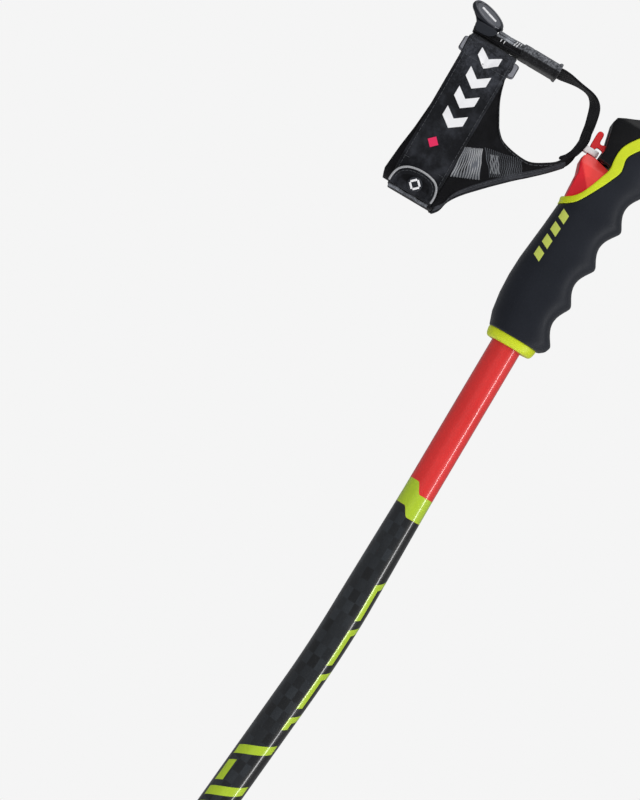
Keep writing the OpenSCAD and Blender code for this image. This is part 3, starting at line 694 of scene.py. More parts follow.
RIM_R, RIM_FOOT = 18.8, 22.0
basket = spun("basket", [
    (5.03, 50), (6.5, 50), (6.75, 49), (7.4, 46), (8.8, 42.2), (10.3, 38), (11.3, 35.8), (13.0, 32.6),
    (13.9, 31.5), (16, 29.1), (17.6, 26.6), (RIM_R, 24.6), (RIM_R, 23), (18.4, RIM_FOOT),
    (17.2, RIM_FOOT), (17.0, 24), (14.6, 28), (12, 30.6), (9.6, 34.6), (7.2, 40.6), (5.03, 41)])
place(basket, "pole", "lime_plastic", lime_plastic.material, "cone_basket")
ferrule = spun("ferrule_ring", [
    (5.52, 50), (7.1, 50), (7.3, 50.3), (7.3, 51.6), (6.95, 52), (6.9, 53), (6.75, 55), (6.0, 63.2),
    (5.9, 64.0), (5.6, 64.2), (5.52, 64.2)])
place(ferrule, "pole", "black_plastic", black_plastic.material, "ferrule")
tip_body = spun("tip_spike", [
    (1.52, 7), (2.6, 8), (3.0, 8.3), (3.5, 11), (3.9, 13.6), (3.7, 14.0), (3.7, 14.5), (4.1, 15),
    (4.9, 21), (5.0, 22), (5.0, 50), (4.28, 50.2), (4.28, 80), (0.6, 80), (0.6, 24.1), (1.52, 24)],
    passes=1)
place(tip_body, "pole", "black_plastic", black_plastic.material, "tip_body")
carbide_pin = spun("carbide_pin", [
    (0.05, 1.1), (0.7, 0.5), (1.35, 0.05), (1.6, 0.0), (1.8, 0.25), (1.8, 8), (1.5, 8.1), (1.5, 24),
    (0.05, 24)], passes=1, sides=48)
place(carbide_pin, "pole", "carbide", carbide.material, "carbide_tip")

# %% [markdown]
# ## The grip
# The rubber, the lime trim, the black head and the red tower are separate mouldings, but a designer
# shapes them as one body and then splits it. So one form is made first: sections that are flattened
# ovals, with finger grooves that fade towards the sides. Each moulding is then cut from that form
# by its outline, its screw hole, slot and bore are cut out, and a fine remesh with a little
# smoothing gives every edge the small radius that a mould leaves, and a thin seam between parts.
# A slanting line parts the tower's red into painted light and painted shade: lighter above it and in
# front, deeper below it and behind, as two faces of one moulding would look, one turned up to the light
# and one turned away from it.

# %% Outlines of the mouldings, in side view
FIRST_RIDGE, FINGER_PITCH, GROOVE = 18.0, 22.5, 4.6
RIDGE_LINE = np.array([[12.0, 14.6], [13, 15.6], [15, 18.2], [18, 19.4], [40.5, 18.0], [63, 18.8],
                       [85.5, 20.6], [108, 21.7], [146, 21.9]])
REAR_LINE = np.array([[12.0, -12.4], [20, -15.2], [30, -16.7], [40, -17.2], [50, -16.9], [60, -15.9],
                      [70, -14.9], [84, -13.8], [90, -15.6], [146, -17.0]])
HALF_WIDTH = np.array([[12.0, 14.3], [30, 15.4], [55, 15.1], [78, 14.2], [100, 13.4], [122, 13.0],
                       [134, 11.6], [140, 8.6], [146, 5.0]])
MIDDLE_X = 1.0
TRIM_LOW = [(-24, 77.6), (-13.9, 82.4), (-8.8, 85.4), (-5.6, 89.2), (-1, 97.6), (2.2, 104.2),
            (4.5, 110.6), (3.4, 117.5), (5.4, 122.0), (9, 126.4), (14, 129.6), (18, 131), (27, 132)]
TRIM_HIGH = [(-24, 84), (-12.8, 87), (-8, 91), (-5, 97), (-2.5, 104), (-1.0, 109), (-1.6, 114),
             (-1.4, 120), (0.6, 125), (5, 131), (9, 133.6), (14, 135.2), (18, 136), (27, 136.6)]
HEAD_BACK = [(-1.3, 110.4), (-8.3, 111.3), (-7.8, 117), (-9.2, 122.5), (-11, 130), (-10.6, 133.5),
             (-7, 135.3), (-3, 137), (0, 138.5), (4, 140.3), (9, 141.2), (14, 140), (18.5, 137.9),
             (27, 136.9)]
TOWER = [(-12.9, 86.0), (-7.2, 89.6), (-3.8, 96.2), (-1.4, 103.6), (-0.6, 108.4), (-9.2, 110.7),
         (-14.2, 110.7), (-15.6, 109.0), (-15.6, 105.6), (-13.7, 100), (-13.3, 92)]
trim_low, trim_high = curve_through(TRIM_LOW, 80), curve_through(TRIM_HIGH, 80)


def grip_form(name, grown):
    """The body that the mouldings are cut from. At height z and angle t the point lies at the
    middle plus the reach times cos t to the power 0.8 along X, and the half width times sin t to
    the power 0.8 along Y. The grooves come off the front reach, by the sine of the height over
    the pitch, and fade with the power 2.2 of the cosine."""
    z = np.arange(12.0, 146.01, 0.8)[:, None]
    t = np.linspace(0, 2 * np.pi, 97)[None, :-1]
    soft = 0.16
    wave = np.abs(np.sin(np.pi * (z - FIRST_RIDGE) / FINGER_PITCH))
    wave = (np.sqrt(wave**2 + soft**2) - soft) / (np.sqrt(1 + soft**2) - soft)
    groove = GROOVE * wave * (z > FIRST_RIDGE) * (z < 110)
    c = np.sign(np.cos(t)) * np.abs(np.cos(t)) ** 0.8
    s = np.sign(np.sin(t)) * np.abs(np.sin(t)) ** 0.8
    front = np.interp(z, *RIDGE_LINE.T) - MIDDLE_X + grown
    rear = MIDDLE_X - np.interp(z, *REAR_LINE.T) + grown
    half = np.interp(z, *HALF_WIDTH.T) + grown
    x = MIDDLE_X + np.where(c > 0, front * c - groove * np.abs(c) ** 2.2, rear * c)
    waist = 1 - 0.035 * wave * (z < 110) * np.clip(c, 0, 1)
    return grid_mesh(name, [np.stack([x, half * s * waist, z + 0 * t], -1)])


# %% Cutting a moulding from the form
def prism(outline, half=24.0):
    """A block with an outline in side view, as a cutting tool."""
    p = np.asarray(outline, float)
    faces = [np.stack([p[:, 0], np.full(len(p), y), p[:, 1]], -1) for y in (half, -half)]
    return grid_mesh("tool", [np.stack(faces)])


def bar_tool(centre, axis, radius, length, sides=40):
    """A round bar that starts at a centre and runs along an axis, as a cutting tool."""
    t = np.linspace(0, 2 * np.pi, sides + 1)[:-1]
    axis = unit(axis)
    one = unit(np.cross(axis, [0.3, 0.9, 0.5]))
    two = np.cross(axis, one)
    ring = radius * (np.cos(t)[:, None] * one + np.sin(t)[:, None] * two)
    return grid_mesh("tool", [np.asarray(centre, float) + np.stack([ring, ring + length * axis])])


def box_tool(low, high):
    """A block between two corners, as a cutting tool."""
    (x0, y0, z0), (x1, y1, z1) = low, high
    ring = np.array([(x0, y0), (x1, y0), (x1, y1), (x0, y1)])
    return grid_mesh("tool", [np.stack([np.column_stack([ring, np.full(4, z)]) for z in (z0, z1)])])


def carve(piece, steps):
    """Cuts (DIFFERENCE), keeps (INTERSECT) or adds (UNION) each tool in turn."""
    for operation, tool in steps:
        cut = piece.modifiers.new("cut", "BOOLEAN")
        cut.object, cut.operation, cut.solver = tool, operation, "EXACT"
        settle(piece)
        bpy.data.objects.remove(tool)
    return piece


def soften(piece, voxel_mm, passes):
    """Rounds a cut body's edges: even small faces, then each point moved towards its neighbours."""
    grid = piece.modifiers.new("even", "REMESH")
    grid.mode, grid.voxel_size, grid.use_smooth_shade = "VOXEL", voxel_mm * MM, True
    calm = piece.modifiers.new("calm", "SMOOTH")
    calm.factor, calm.iterations = 0.5, passes
    settle(piece)
    piece.data.polygons.foreach_set("use_smooth", np.ones(len(piece.data.polygons), bool))
    return piece


PIVOT, PIN_R = (-4.8, 113.8), 1.2
SCREW_Z, CORE_R, GRIP_FLOOR = 97.0, 10.65, 13.0


def tang_tool():
    """The space of the hard core's tang, which the upper mouldings sit on."""
    return "DIFFERENCE", box_tool((0.95, -7.05, 79), (13.05, 7.05, 126.05))


def socket_tool():
    """The space of the hard core's socket, which holds the shaft."""
    return "DIFFERENCE", bar_tool((0, 0, 5), (0, 0, 1), CORE_R, 79.1)


SEAM = 0.12
below_trim = np.concatenate([
    trim_low - [0, SEAM], [[40, 132], [40, GRIP_FLOOR], [-40, GRIP_FLOOR], [-40, 70]]])
grip = carve(grip_form("grip", 0.0), [("INTERSECT", prism(below_trim)), socket_tool(), tang_tool()])
soften(grip, 0.55, 4)
place(grip, "pole", "grip_rubber", grip_rubber.material, "grip_rubber")

trim_outline = np.concatenate([trim_low, trim_high[::-1]])
trim = carve(grip_form("trim", 0.4), [("INTERSECT", prism(trim_outline)), tang_tool()])
soften(trim, 0.38, 5)
place(trim, "pole", "lime_plastic", trim_plastic.material, "trim_band")

SLOT_HALF = 2.3
SLOT = [(-14, 108), (-1.8, 108), (-1.8, 118), (-4.2, 121.5), (-6.4, 124), (-6.4, 127.8), (-14, 127.8)]
head_front = trim_high[(trim_high[:, 1] > 110) & (trim_high[:, 0] > -2.2)][::-1] + [0, SEAM]
head = carve(grip_form("head", 0.0), [
    ("INTERSECT", prism(np.concatenate([HEAD_BACK, head_front]))), tang_tool(),
    ("DIFFERENCE", prism(SLOT, SLOT_HALF)),
    ("DIFFERENCE", bar_tool((PIVOT[0], -4.9, PIVOT[1]), (0, 1, 0), 3.5, 9.8)),
    ("DIFFERENCE", bar_tool((PIVOT[0], -9, PIVOT[1]), (0, 1, 0), PIN_R + 0.05, 29))])
soften(head, 0.4, 5)
place(head, "pole", "black_plastic", black_plastic.material, "grip_head")


# %% Red tower
def tower_form(name):
    """A wedge that leans out to the height where the strap loop sits, then in again: the half
    width follows a table over the height, and the section is a rectangle with rounded corners."""
    z = np.linspace(84, 114, 41)
    half = np.interp(z, [84, 92, 101, 105.5, 110.7, 114], [8.2, 10.2, 11.6, 10.6, 7.4, 6.2])
    t = np.linspace(0, 2 * np.pi, 97)[:-1]
    c = np.sign(np.cos(t)) * np.abs(np.cos(t)) ** 0.42
    s = np.sign(np.sin(t)) * np.abs(np.sin(t)) ** 0.42
    x, y = -8.0 + 9.4 * c[None, :] + 0 * z[:, None], half[:, None] * s[None, :]
    return grid_mesh(name, [np.stack([x, y, z[:, None] + 0 * x], -1)])


POST_X = -13.1
SHADE_LINE_X, SHADE_LINE_Z, SHADE_LINE_SLOPE = -16.2, 107.2, 1.15
tower = carve(tower_form("tower"), [
    ("INTERSECT", prism(TOWER)), tang_tool(),
    ("DIFFERENCE", bar_tool((-30, 0, SCREW_Z), (1, 0, 0), 3.1, 19)),
    ("DIFFERENCE", bar_tool((-12, 0, SCREW_Z), (1, 0, 0), 1.7, 16)),
    ("UNION", bar_tool((POST_X, 0, 108), (0, 0, 1), 1.4, 4.7))])
soften(tower, 0.32, 4)
f = Finish("tower_red", linear(236, 60, 58), 0.36)
at = f.place(DATUM)
x, _, z = f.parts(at)
slow, fine = f.noise(at, 0.06, 3.0), f.noise(at, 3.0, 3.0, 0.6)
# Painted light and shade: the red is lighter above a slanting line and deeper below and behind it, as two
# faces of the tower would be lit.
slope = f.math("MULTIPLY", f.math("SUBTRACT", x, SHADE_LINE_X), SHADE_LINE_SLOPE)
above = f.math("ADD", f.math("SUBTRACT", z, SHADE_LINE_Z), slope)
painted_facet_light = f.span(f.math("MULTIPLY_ADD", slow, 2.0, above), 0.4, 2.2)
f.color(f.mix(painted_facet_light, linear(206, 18, 36), f.mix(slow, linear(232, 52, 50), linear(244, 74, 70))))
f.roughness(f.span(slow, 0.3, 0.7, 0.3, 0.42))
f.bump(fine, 0.03)
place(tower, "pole", "red_plastic", f.material, "clip_tower")

# %% Collar under the grip
def ring_plate(name, levels, outline, bore):
    """A ring: an outline scaled level by level up the outside, and a round bore back down."""
    t = np.linspace(0, 2 * np.pi, 97)[:-1]
    rows = [np.column_stack([*outline(t, size), np.full(len(t), z)]) for size, z in levels]
    z0, z1 = levels[0][1], levels[-1][1]
    hole = np.column_stack([bore * np.cos(t), bore * np.sin(t)])
    rows += [np.column_stack([hole, np.full(len(t), z)]) for z in (z1, z0)]
    return grid_mesh(name, [np.stack(rows)], wrap_rows=True)


def collar_outline(t, size):
    """A flattened oval a little further to the front than to the rear."""
    c = np.sign(np.cos(t)) * np.abs(np.cos(t)) ** 0.85
    s = np.sign(np.sin(t)) * np.abs(np.sin(t)) ** 0.85
    return 0.8 + size * 13.4 * c, size * 13.1 * s


collar = ring_plate("collar", [
    (0.80, 8.0), (0.87, 8.1), (0.92, 8.6), (0.955, 9.5), (0.98, 10.6), (0.995, 11.9), (0.995, 12.6),
    (0.98, 13.2), (0.9, 13.4)], collar_outline, UPPER_R + 0.05)
place(collar, "pole", "lime_plastic", trim_plastic.material, "grip_collar")

# %% [markdown]
# ## Release clip
# The lever, the loop and the sewn sleeve meet at the post on the tower. The lever is a flat moulded
# part, so it is an outline with a thickness, and its edges are rounded by rings that step inwards as
# they step up. The loop is a plastic wire of rectangular section that runs round the post and ends
# in a bar for the cloth.


# %% Flat parts with rounded edges
def plate_rows(outline, y0, y1, r, count=120, smooth=True):
    """Rings of an outline in side view between two planes. Each ring lies inside the outline by the
    radius less its sine, and above the face by the radius less its cosine."""
    p = curve_through(outline, count, closed=True) if smooth else np.asarray(outline, float)
    step = np.roll(p, -1, 0) - np.roll(p, 1, 0)
    inward = unit(np.stack([-step[:, 1], step[:, 0]], -1))
    area = (p[:, 0] * np.roll(p[:, 1], -1) - np.roll(p[:, 0], -1) * p[:, 1]).sum()
    inward = inward * np.sign(area)
    a = np.linspace(0, np.pi / 2, 5)
    inset = np.concatenate([[r + 0.12], r * (1 - np.sin(a))])
    lift = np.concatenate([[0], r * (1 - np.cos(a))])
    inset, y = np.concatenate([inset, inset[::-1]]), np.concatenate([y0 + lift, (y1 - lift)[::-1]])
    q = p[None] + inset[:, None, None] * inward[None]
    return np.stack([q[..., 0], y[:, None] + 0 * q[..., 0], q[..., 1]], -1)


def plate(name, *shape, **options):
    """A piece made of one such plate."""
    return grid_mesh(name, [plate_rows(*shape, **options)])


LEVER_HALF = 1.8
LEVER = [(-14.2, 113.1), (-12.0, 113.0), (-11.9, 115.2), (-11.2, 116.3), (-8.6, 116.0), (-7.3, 114.2),
         (-6.6, 112.0), (-4.8, 111.25), (-2.9, 112.1), (-2.25, 113.8), (-2.9, 115.5), (-4.6, 117.0),
         (-7.5, 119.3), (-10.4, 118.7), (-11.45, 119.6), (-11.55, 122.7), (-12.1, 124.1),
         (-13.25, 124.5), (-14.4, 124.1), (-14.95, 122.7), (-15.0, 118.0), (-14.9, 115.8)]
lever = plate("release_finger", LEVER, -LEVER_HALF, LEVER_HALF, 0.55, count=220)
lever = carve(lever, [("DIFFERENCE", bar_tool((PIVOT[0], -3, PIVOT[1]), (0, 1, 0), PIN_R + 0.05, 6))])
place(lever, "release_lever", "red_plastic", red_plastic.material, "release_lever")


# %% Strap loop
def tube(path, radius_up, radius_side, up, count=20, power=0.6, ends=True):
    """A grid round a path: a flattened oval section, its height along up and its width across,
    with ends that close in on themselves."""
    p = np.asarray(path, float)
    t = unit(np.gradient(p, axis=0))
    up = unit(np.broadcast_to(np.asarray(up, float), p.shape))
    side = unit(np.cross(t, up))
    up = np.cross(side, t)
    a = np.linspace(0, 2 * np.pi, count + 1)[:-1]
    c = np.sign(np.cos(a)) * np.abs(np.cos(a)) ** power
    s = np.sign(np.sin(a)) * np.abs(np.sin(a)) ** power
    ru, rs = (np.broadcast_to(np.asarray(r, float), len(p)) for r in (radius_up, radius_side))
    if ends:
        b = np.radians([80, 55, 28])
        reach = min(float(ru[0]), float(rs[0]))
        p = np.concatenate([p[0] - t[0] * reach * np.sin(b)[:, None], p,
                            p[-1] + t[-1] * reach * np.sin(b[::-1])[:, None]])
        size = np.concatenate([np.cos(b), np.ones(len(t)), np.cos(b[::-1])])
        ru = size * np.pad(ru, 3, "edge")
        rs = size * np.pad(rs, 3, "edge")
        side, up = (np.concatenate([v[:1].repeat(3, 0), v, v[-1:].repeat(3, 0)]) for v in (side, up))
    rise, reach_out = (ru[:, None] * s)[..., None], (rs[:, None] * c)[..., None]
    return p[:, None] + rise * up[:, None] + reach_out * side[:, None]


LOOP_NOSE_X, LOOP_MID_Z, LOOP_R, BAR = -12.7, 113.2, 3.0, (-18.0, 113.2)
bend = np.linspace(-np.pi / 2, np.pi / 2, 25)
nose = np.stack([LOOP_NOSE_X + LOOP_R * np.cos(bend), LOOP_R * np.sin(bend), 0 * bend + LOOP_MID_Z], -1)
legs = np.linspace(0, 1, 8)[:-1, None]
leg = np.array([-18.7, -LOOP_R, LOOP_MID_Z]) * (1 - legs) + nose[0] * legs
hoop = np.concatenate([leg, nose, (leg * [1, -1, 1])[::-1]])
bar = np.stack([np.full(9, BAR[0]), np.linspace(-3.2, 3.2, 9), np.full(9, BAR[1])], -1)
loop = grid_mesh("strap_hoop", [tube(hoop, 1.65, 0.6, (0, 0, 1)),
                                tube(bar, 0.9, 0.9, (0, 0, 1), power=1.0)])
place(loop, "strap_loop", "white_plastic", white_plastic.material, "strap_loop")

# %% [markdown]
# ## The hand strap
# The strap is cut from cloth and tape and sewn, so nearly all of it is bands: a centre line, a width
# and a thickness, with a soft rim. `band` makes one. Its section is two flat faces joined by half
# rounds, its ends close with the same radius, and an optional relief lifts the outer face, for a
# hem, a crown or a crease. Width and direction may change from row to row, so the same function
# makes a tape, the cuff and the fan-shaped web over the thumb.


# %% Bands
FLATS = 25


def band(centre, half, up, thick, relief=None, wrap=False):
    """A grid round a band: the centre, plus the half width times a share from 1 to -1, plus half
    the thickness times cosine and sine of the rim's angle, plus the relief on the outer face."""
    centre, half = np.asarray(centre, float), np.asarray(half, float)
    up = unit(np.broadcast_to(np.asarray(up, float), centre.shape))
    h = np.broadcast_to(np.asarray(thick, float) / 2, len(centre)).copy()
    lift = np.zeros((len(centre), FLATS)) if relief is None else np.asarray(relief, float)
    if not wrap:
        b = np.radians([84, 60, 30])
        for end in (0, -1):
            away = unit(centre[end] - centre[1 if end == 0 else -2])
            width = np.linalg.norm(half[end])
            extra = (centre[end] + h[end] * np.sin(b)[:, None] * away,
                     half[end] * (1 - h[end] * (1 - np.cos(b)) / width)[:, None],
                     up[end].repeat(3).reshape(3, 3).T, h[end] * np.cos(b),
                     lift[end] * np.cos(b)[:, None])
            if end == 0:
                joined = (extra, (centre, half, up, h, lift))
            else:
                joined = ((centre, half, up, h, lift), tuple(e[::-1] for e in extra))
            centre, half, up, h, lift = (np.concatenate(pair) for pair in zip(*joined))
    width = np.linalg.norm(half, axis=1)
    side = half / width[:, None]
    flat = np.linspace(1, -1, FLATS)
    rim = np.linspace(0, np.pi, 9)[1:-1]
    share = np.concatenate([flat, np.full(7, -1), flat[::-1], np.full(7, 1)])
    angle = np.concatenate([np.full(FLATS, np.pi / 2), np.pi / 2 + rim,
                            np.full(FLATS, 1.5 * np.pi), 1.5 * np.pi + rim])
    raised = np.zeros((len(centre), len(share)))
    raised[:, :FLATS] = lift
    out = share * (width - h)[:, None] + h[:, None] * np.cos(angle)
    rise = h[:, None] * np.sin(angle) + raised
    return centre[:, None] + out[..., None] * side[:, None] + rise[..., None] * up[:, None]


def mirrored(grid):
    """The same grid on the palm side."""
    return grid * [1, -1, 1]


# %% [markdown]
# ### Cuff
# Two layers go round the back of the hand and the palm: an inner lining that shows along the rear
# edge, and an outer face with hems, a slight crown and soft creases. The path is a long loop in the
# plane of the knuckles. `cuff_place` turns a place on it into a point, so that prints and stitches
# follow the same surface.

# %% Cuff surface
CUFF_LOW, CUFF_HIGH = 61.7, 120.5
CUFF_R = 13.7
CUFF_FRONT = -68.3
TURN_LEN, SIDE_LEN = CUFF_R * np.pi / 2, CUFF_HIGH - CUFF_LOW
REAR_EDGE = np.array([[44, -94.2], [47.5, -96.2], [52, -97.7], [66, -96.6], [78, -95.1], [92, -94.1],
                      [120, -94.3], [131, -94.9], [140, -95.4]])
FACE_EDGE = np.array([[44, -92.6], [60, -93.4], [78, -93.6], [100, -93.6], [140, -94.6]])


def crease(x, z):
    """Soft folds in millimetres: long waves over the cloth and two slanting pulls near the hems."""
    pull = 0.30 * np.exp(-((z - 69 - 0.28 * (x + 80)) / 2.6) ** 2)
    pull = pull - 0.22 * np.exp(-((z - 64.5 + 0.15 * (x + 80)) / 2.0) ** 2)
    wave = 0.10 * np.sin(0.31 * z + 0.16 * x) + 0.07 * np.sin(0.53 * z - 0.47 * x + 1.1)
    top = 0.28 * np.exp(-((z - 123.6 - 0.05 * (x + 80)) / 1.1) ** 2)
    return pull + wave - top


def cuff_place(x, s, out=0.0):
    """A point of the cuff's outside on the strap side: s is the distance up the surface from its
    lowest line, out the height over it. Also gives the outward direction."""
    a = np.clip(s / CUFF_R, 0, np.pi / 2) + np.clip((s - TURN_LEN - SIDE_LEN) / CUFF_R, 0, np.pi / 2)
    up = np.stack([0 * a, -np.sin(a), -np.cos(a)], -1)
    middle = CUFF_LOW + np.clip(s - TURN_LEN, 0, SIDE_LEN)
    z = middle - CUFF_R * np.cos(a)
    r = CUFF_R + out + crease(x, z)
    return np.stack([x + 0 * a, -r * np.sin(a), middle - r * np.cos(a)], -1), up


def s_of(z):
    """The distance up the surface at a height on the flat side or the upper turn."""
    over = np.clip((np.asarray(z, float) - CUFF_HIGH) / CUFF_R, 0, 1)
    return TURN_LEN + np.clip(np.asarray(z, float) - CUFF_LOW, None, SIDE_LEN) + CUFF_R * np.arcsin(over)


def cuff_layer(edge, front, depth, thick, hem, crown):
    """One layer of the cuff from the lowest line to the highest: its rear edge follows a table over
    the height, hems stand up along both edges, and the crown is a parabola across."""
    s = np.linspace(0.6, 2 * TURN_LEN + SIDE_LEN - 0.6, 96)
    where, up = cuff_place(np.full(len(s), -80.0), s)
    z = where[:, 2]
    x0, x1 = np.interp(z, *edge.T), np.full(len(z), front)
    share = np.linspace(1, -1, FLATS)
    x = (x0 + x1)[:, None] / 2 + share * (x1 - x0)[:, None] / 2
    base = cuff_place(np.full(len(s), 0.0), s, -depth - thick / 2)[0]
    folds = crease(x, z[:, None]) - crease(0.0, z)[:, None]
    from_edge = (1 - np.abs(share)) * (x1 - x0)[:, None] / 2
    relief = folds + crown * (1 - share**2) + hem * (1 - smoothstep((from_edge - 2.2) / 0.7))
    centre = base * [0, 1, 1] + np.stack([(x0 + x1) / 2, 0 * z, 0 * z], -1)
    half = np.stack([(x1 - x0) / 2, 0 * z, 0 * z], -1)
    return band(centre, half, up, thick, relief)


outer = cuff_layer(FACE_EDGE, CUFF_FRONT, 0.0, 1.15, 0.22, 0.35)
lining = cuff_layer(REAR_EDGE, CUFF_FRONT - 0.5, 1.15, 1.05, 0.0, 0.0)
cuff_back = grid_mesh("cuff_back", [outer])
place(cuff_back, "strap", "strap_fabric", cuff_cloth.material, "back_band")
cuff_palm = grid_mesh("cuff_palm", [mirrored(outer)])
place(cuff_palm, "strap", "strap_fabric", cuff_cloth.material, "palm_band")
cuff_lining = grid_mesh("cuff_lining", [lining, mirrored(lining)])
place(cuff_lining, "strap", "strap_fabric", web_cloth.material)


# %% Prints on the cuff
def chevron(x0, x1, z_mid, drop, height):
    """A flat V across the cuff, raised by a print's thickness: its middle line falls evenly to the
    middle of the width and rises again."""
    x = np.linspace(x0, x1, 25)
    s = s_of(z_mid) - drop * (1 - np.abs(2 * (x - x0) / (x1 - x0) - 1))
    centre, up = cuff_place(x, s, 0.38)
    above, _ = cuff_place(x, s + height / 2, 0.38)
    return band(centre, above - centre, up, 0.3)


CHEVRONS = (126.5, 115.2, 103.9, 92.6)
prints = grid_mesh("cuff_chevrons", [chevron(-86.2, -74.8, z, 4.2, 5.4) for z in CHEVRONS])
place(prints, "strap", "strap_rubber", white_print.material)
span_x = np.linspace(-2.9, 2.9, 17)
spot, spot_up = cuff_place(-83.4 + span_x, np.full(17, s_of(76.0)), 0.40)
spot_half = np.stack([0 * span_x, 0 * span_x, 3.1 - np.abs(span_x)], -1)
diamond = grid_mesh("cuff_diamond", [band(spot, spot_half, spot_up, 0.3)])
place(diamond, "strap", "strap_rubber", pink_print.material)

# %% [markdown]
# ### Web over the thumb
# From the front edge of the cuff a fan of cloth narrows to the hook: one panel outside and one on the
# palm side. Each is a single curved sheet between two edge lines, matched point for point at equal shares
# of their lengths, and it leans in towards the hook. The sheet is cut flat and pulled tight by the hand.
# Tape binds its edges, and a ribbed mesh lets air through.

# %% Web panels
WEB_ROOT_X, WEB_ROOT_Y, WEB_TILT = -67.9, 12.7, np.radians(11.6)
WEB_INNER = [(-68.6, 121), (-66.4, 113.6), (-64, 108), (-60, 101), (-58, 98), (-54, 94.4), (-48, 92.6),
             (-41, 91.9), (-36, 92.6), (-30, 96), (-25, 100), (-21.6, 106), (-20.8, 109.6)]
WEB_OUTER = [(-67.6, 46.6), (-65.8, 47.2), (-63.4, 50.6), (-62, 56), (-58, 62.2), (-50, 71), (-40, 81),
             (-33, 87.3), (-26, 94), (-20.6, 100.0), (-18.9, 103.6), (-18.5, 107.2)]
ROWS = 90
inner, outer_line = curve_through(WEB_INNER, ROWS), curve_through(WEB_OUTER, ROWS)
web_up = np.array([np.sin(WEB_TILT), -np.cos(WEB_TILT), 0])


def web_point(x, z, out=0.0):
    """A point of the outer web at a place in side view: the sheet leans in towards the hook, and
    bellies out by a millimetre half way along."""
    x, z = np.asarray(x, float), np.asarray(z, float)
    along_web = np.clip((x - WEB_ROOT_X) / 48, 0, 1)
    y = -WEB_ROOT_Y + np.tan(WEB_TILT) * (x - WEB_ROOT_X) - 0.9 * np.sin(np.pi * along_web)
    y = y - 0.14 * np.sin(0.55 * z + 0.21 * x) - 0.10 * np.sin(0.9 * x - 0.3 * z)
    return np.stack([x, y, z], -1) + out * web_up


def web_grid(thick):
    """The panel's grid: rows from the cuff to the hook, columns from the outer to the inner edge."""
    share = np.linspace(1, -1, FLATS)
    mid, half = (inner + outer_line) / 2, (inner - outer_line) / 2
    high, low = (web_point(line[:, 0], line[:, 1]) for line in (inner, outer_line))
    centre, reach = (high + low) / 2, (high - low) / 2
    x = mid[:, :1] + share * half[:, :1]
    z = mid[:, 1:] + share * half[:, 1:]
    bulge = (centre[:, None, 1] + share * reach[:, None, 1]) - web_point(x, z)[..., 1]
    return band(centre, reach, web_up, thick, bulge)


outer_web = web_grid(1.1)
web = grid_mesh("thumb_web_panel", [outer_web])
place(web, "strap", "strap_fabric", web_cloth.material, "thumb_web")
web_palm = grid_mesh("palm_web_panel", [mirrored(outer_web)])
place(web_palm, "strap", "strap_fabric", web_cloth.material, "palm_web")


# %% Bindings on the web
def bound_edge(line, inwards, width, thick, first, last):
    """A folded tape along an edge of the web, a little thicker than the cloth."""
    part = line[int(first * ROWS):int(last * ROWS)]
    toward = unit(inwards[int(first * ROWS):int(last * ROWS)] - part)
    middle = part + toward * (width / 2 - 0.35)
    centre = web_point(middle[:, 0], middle[:, 1], 0.0)
    far = part + toward * (width - 0.35)
    half = web_point(far[:, 0], far[:, 1]) - centre
    return band(centre, half, web_up, thick)


low_edge = bound_edge(outer_line, inner, 3.0, 1.9, 0.03, 0.90)
top_edge = bound_edge(inner, outer_line, 2.0, 1.8, 0.02, 0.93)
edge_low = grid_mesh("web_binding_low", [low_edge, mirrored(low_edge)])
place(edge_low, "strap", "strap_webbing", binding.material)
edge_top = grid_mesh("web_binding_top", [top_edge, mirrored(top_edge)])
place(edge_top, "strap", "strap_webbing", tape.material)

# %% [markdown]
# ### Ribbed mesh
# The mesh is a knitted fabric with raised ribs. Three patches of it show: a large one beside the
# cuff, a small shiny one further on, and fine ribs under the inner hem. Each rib is a thin tube
# that lies half in the cloth, from a point on the patch's upper edge to the matching point on its
# lower edge.

# %% Mesh
mesh_knit = woven("mesh_knit", linear(58, 60, 64), 0.9, painted_crown_light=2.0, relief_mm=0.12, patch=0.4,
                  roughness=0.6)
rib_light = woven("rib_light", linear(128, 130, 134), 0.7, painted_crown_light=1.3, relief_mm=0.06, patch=0.2,
                  roughness=0.5)
rib_dark = woven("rib_dark", linear(66, 68, 72), 0.7, painted_crown_light=1.6, relief_mm=0.06, patch=0.2,
                 roughness=0.55)
RIB_WAVE = 0.16


def ribs(top_edge, low_edge, count, r, out=0.72):
    """Tubes at equal shares between the ends of a patch's upper and lower edge."""
    made = []
    for share in np.linspace(0.02, 0.98, count):
        a = np.array(top_edge[0]) * (1 - share) + np.array(top_edge[1]) * share
        b = np.array(low_edge[0]) * (1 - share) + np.array(low_edge[1]) * share
        t = np.linspace(0, 1, 12)[:, None]
        p = a * (1 - t) + b * t + RIB_WAVE * np.sin(11 * t + 9 * share)
        made.append(tube(web_point(p[:, 0], p[:, 1], out), r, r, web_up, count=8, power=1.0))
    return made


def patch(top_edge, low_edge, out, thick):
    """A thin cloth between the two edges, laid on the web."""
    t = np.linspace(0, 1, 30)[:, None]
    a, b = (np.array(e[0]) * (1 - t) + np.array(e[1]) * t for e in (top_edge, low_edge))
    high, low = web_point(a[:, 0], a[:, 1], out), web_point(b[:, 0], b[:, 1], out)
    return band((high + low) / 2, (high - low) / 2, web_up, thick)


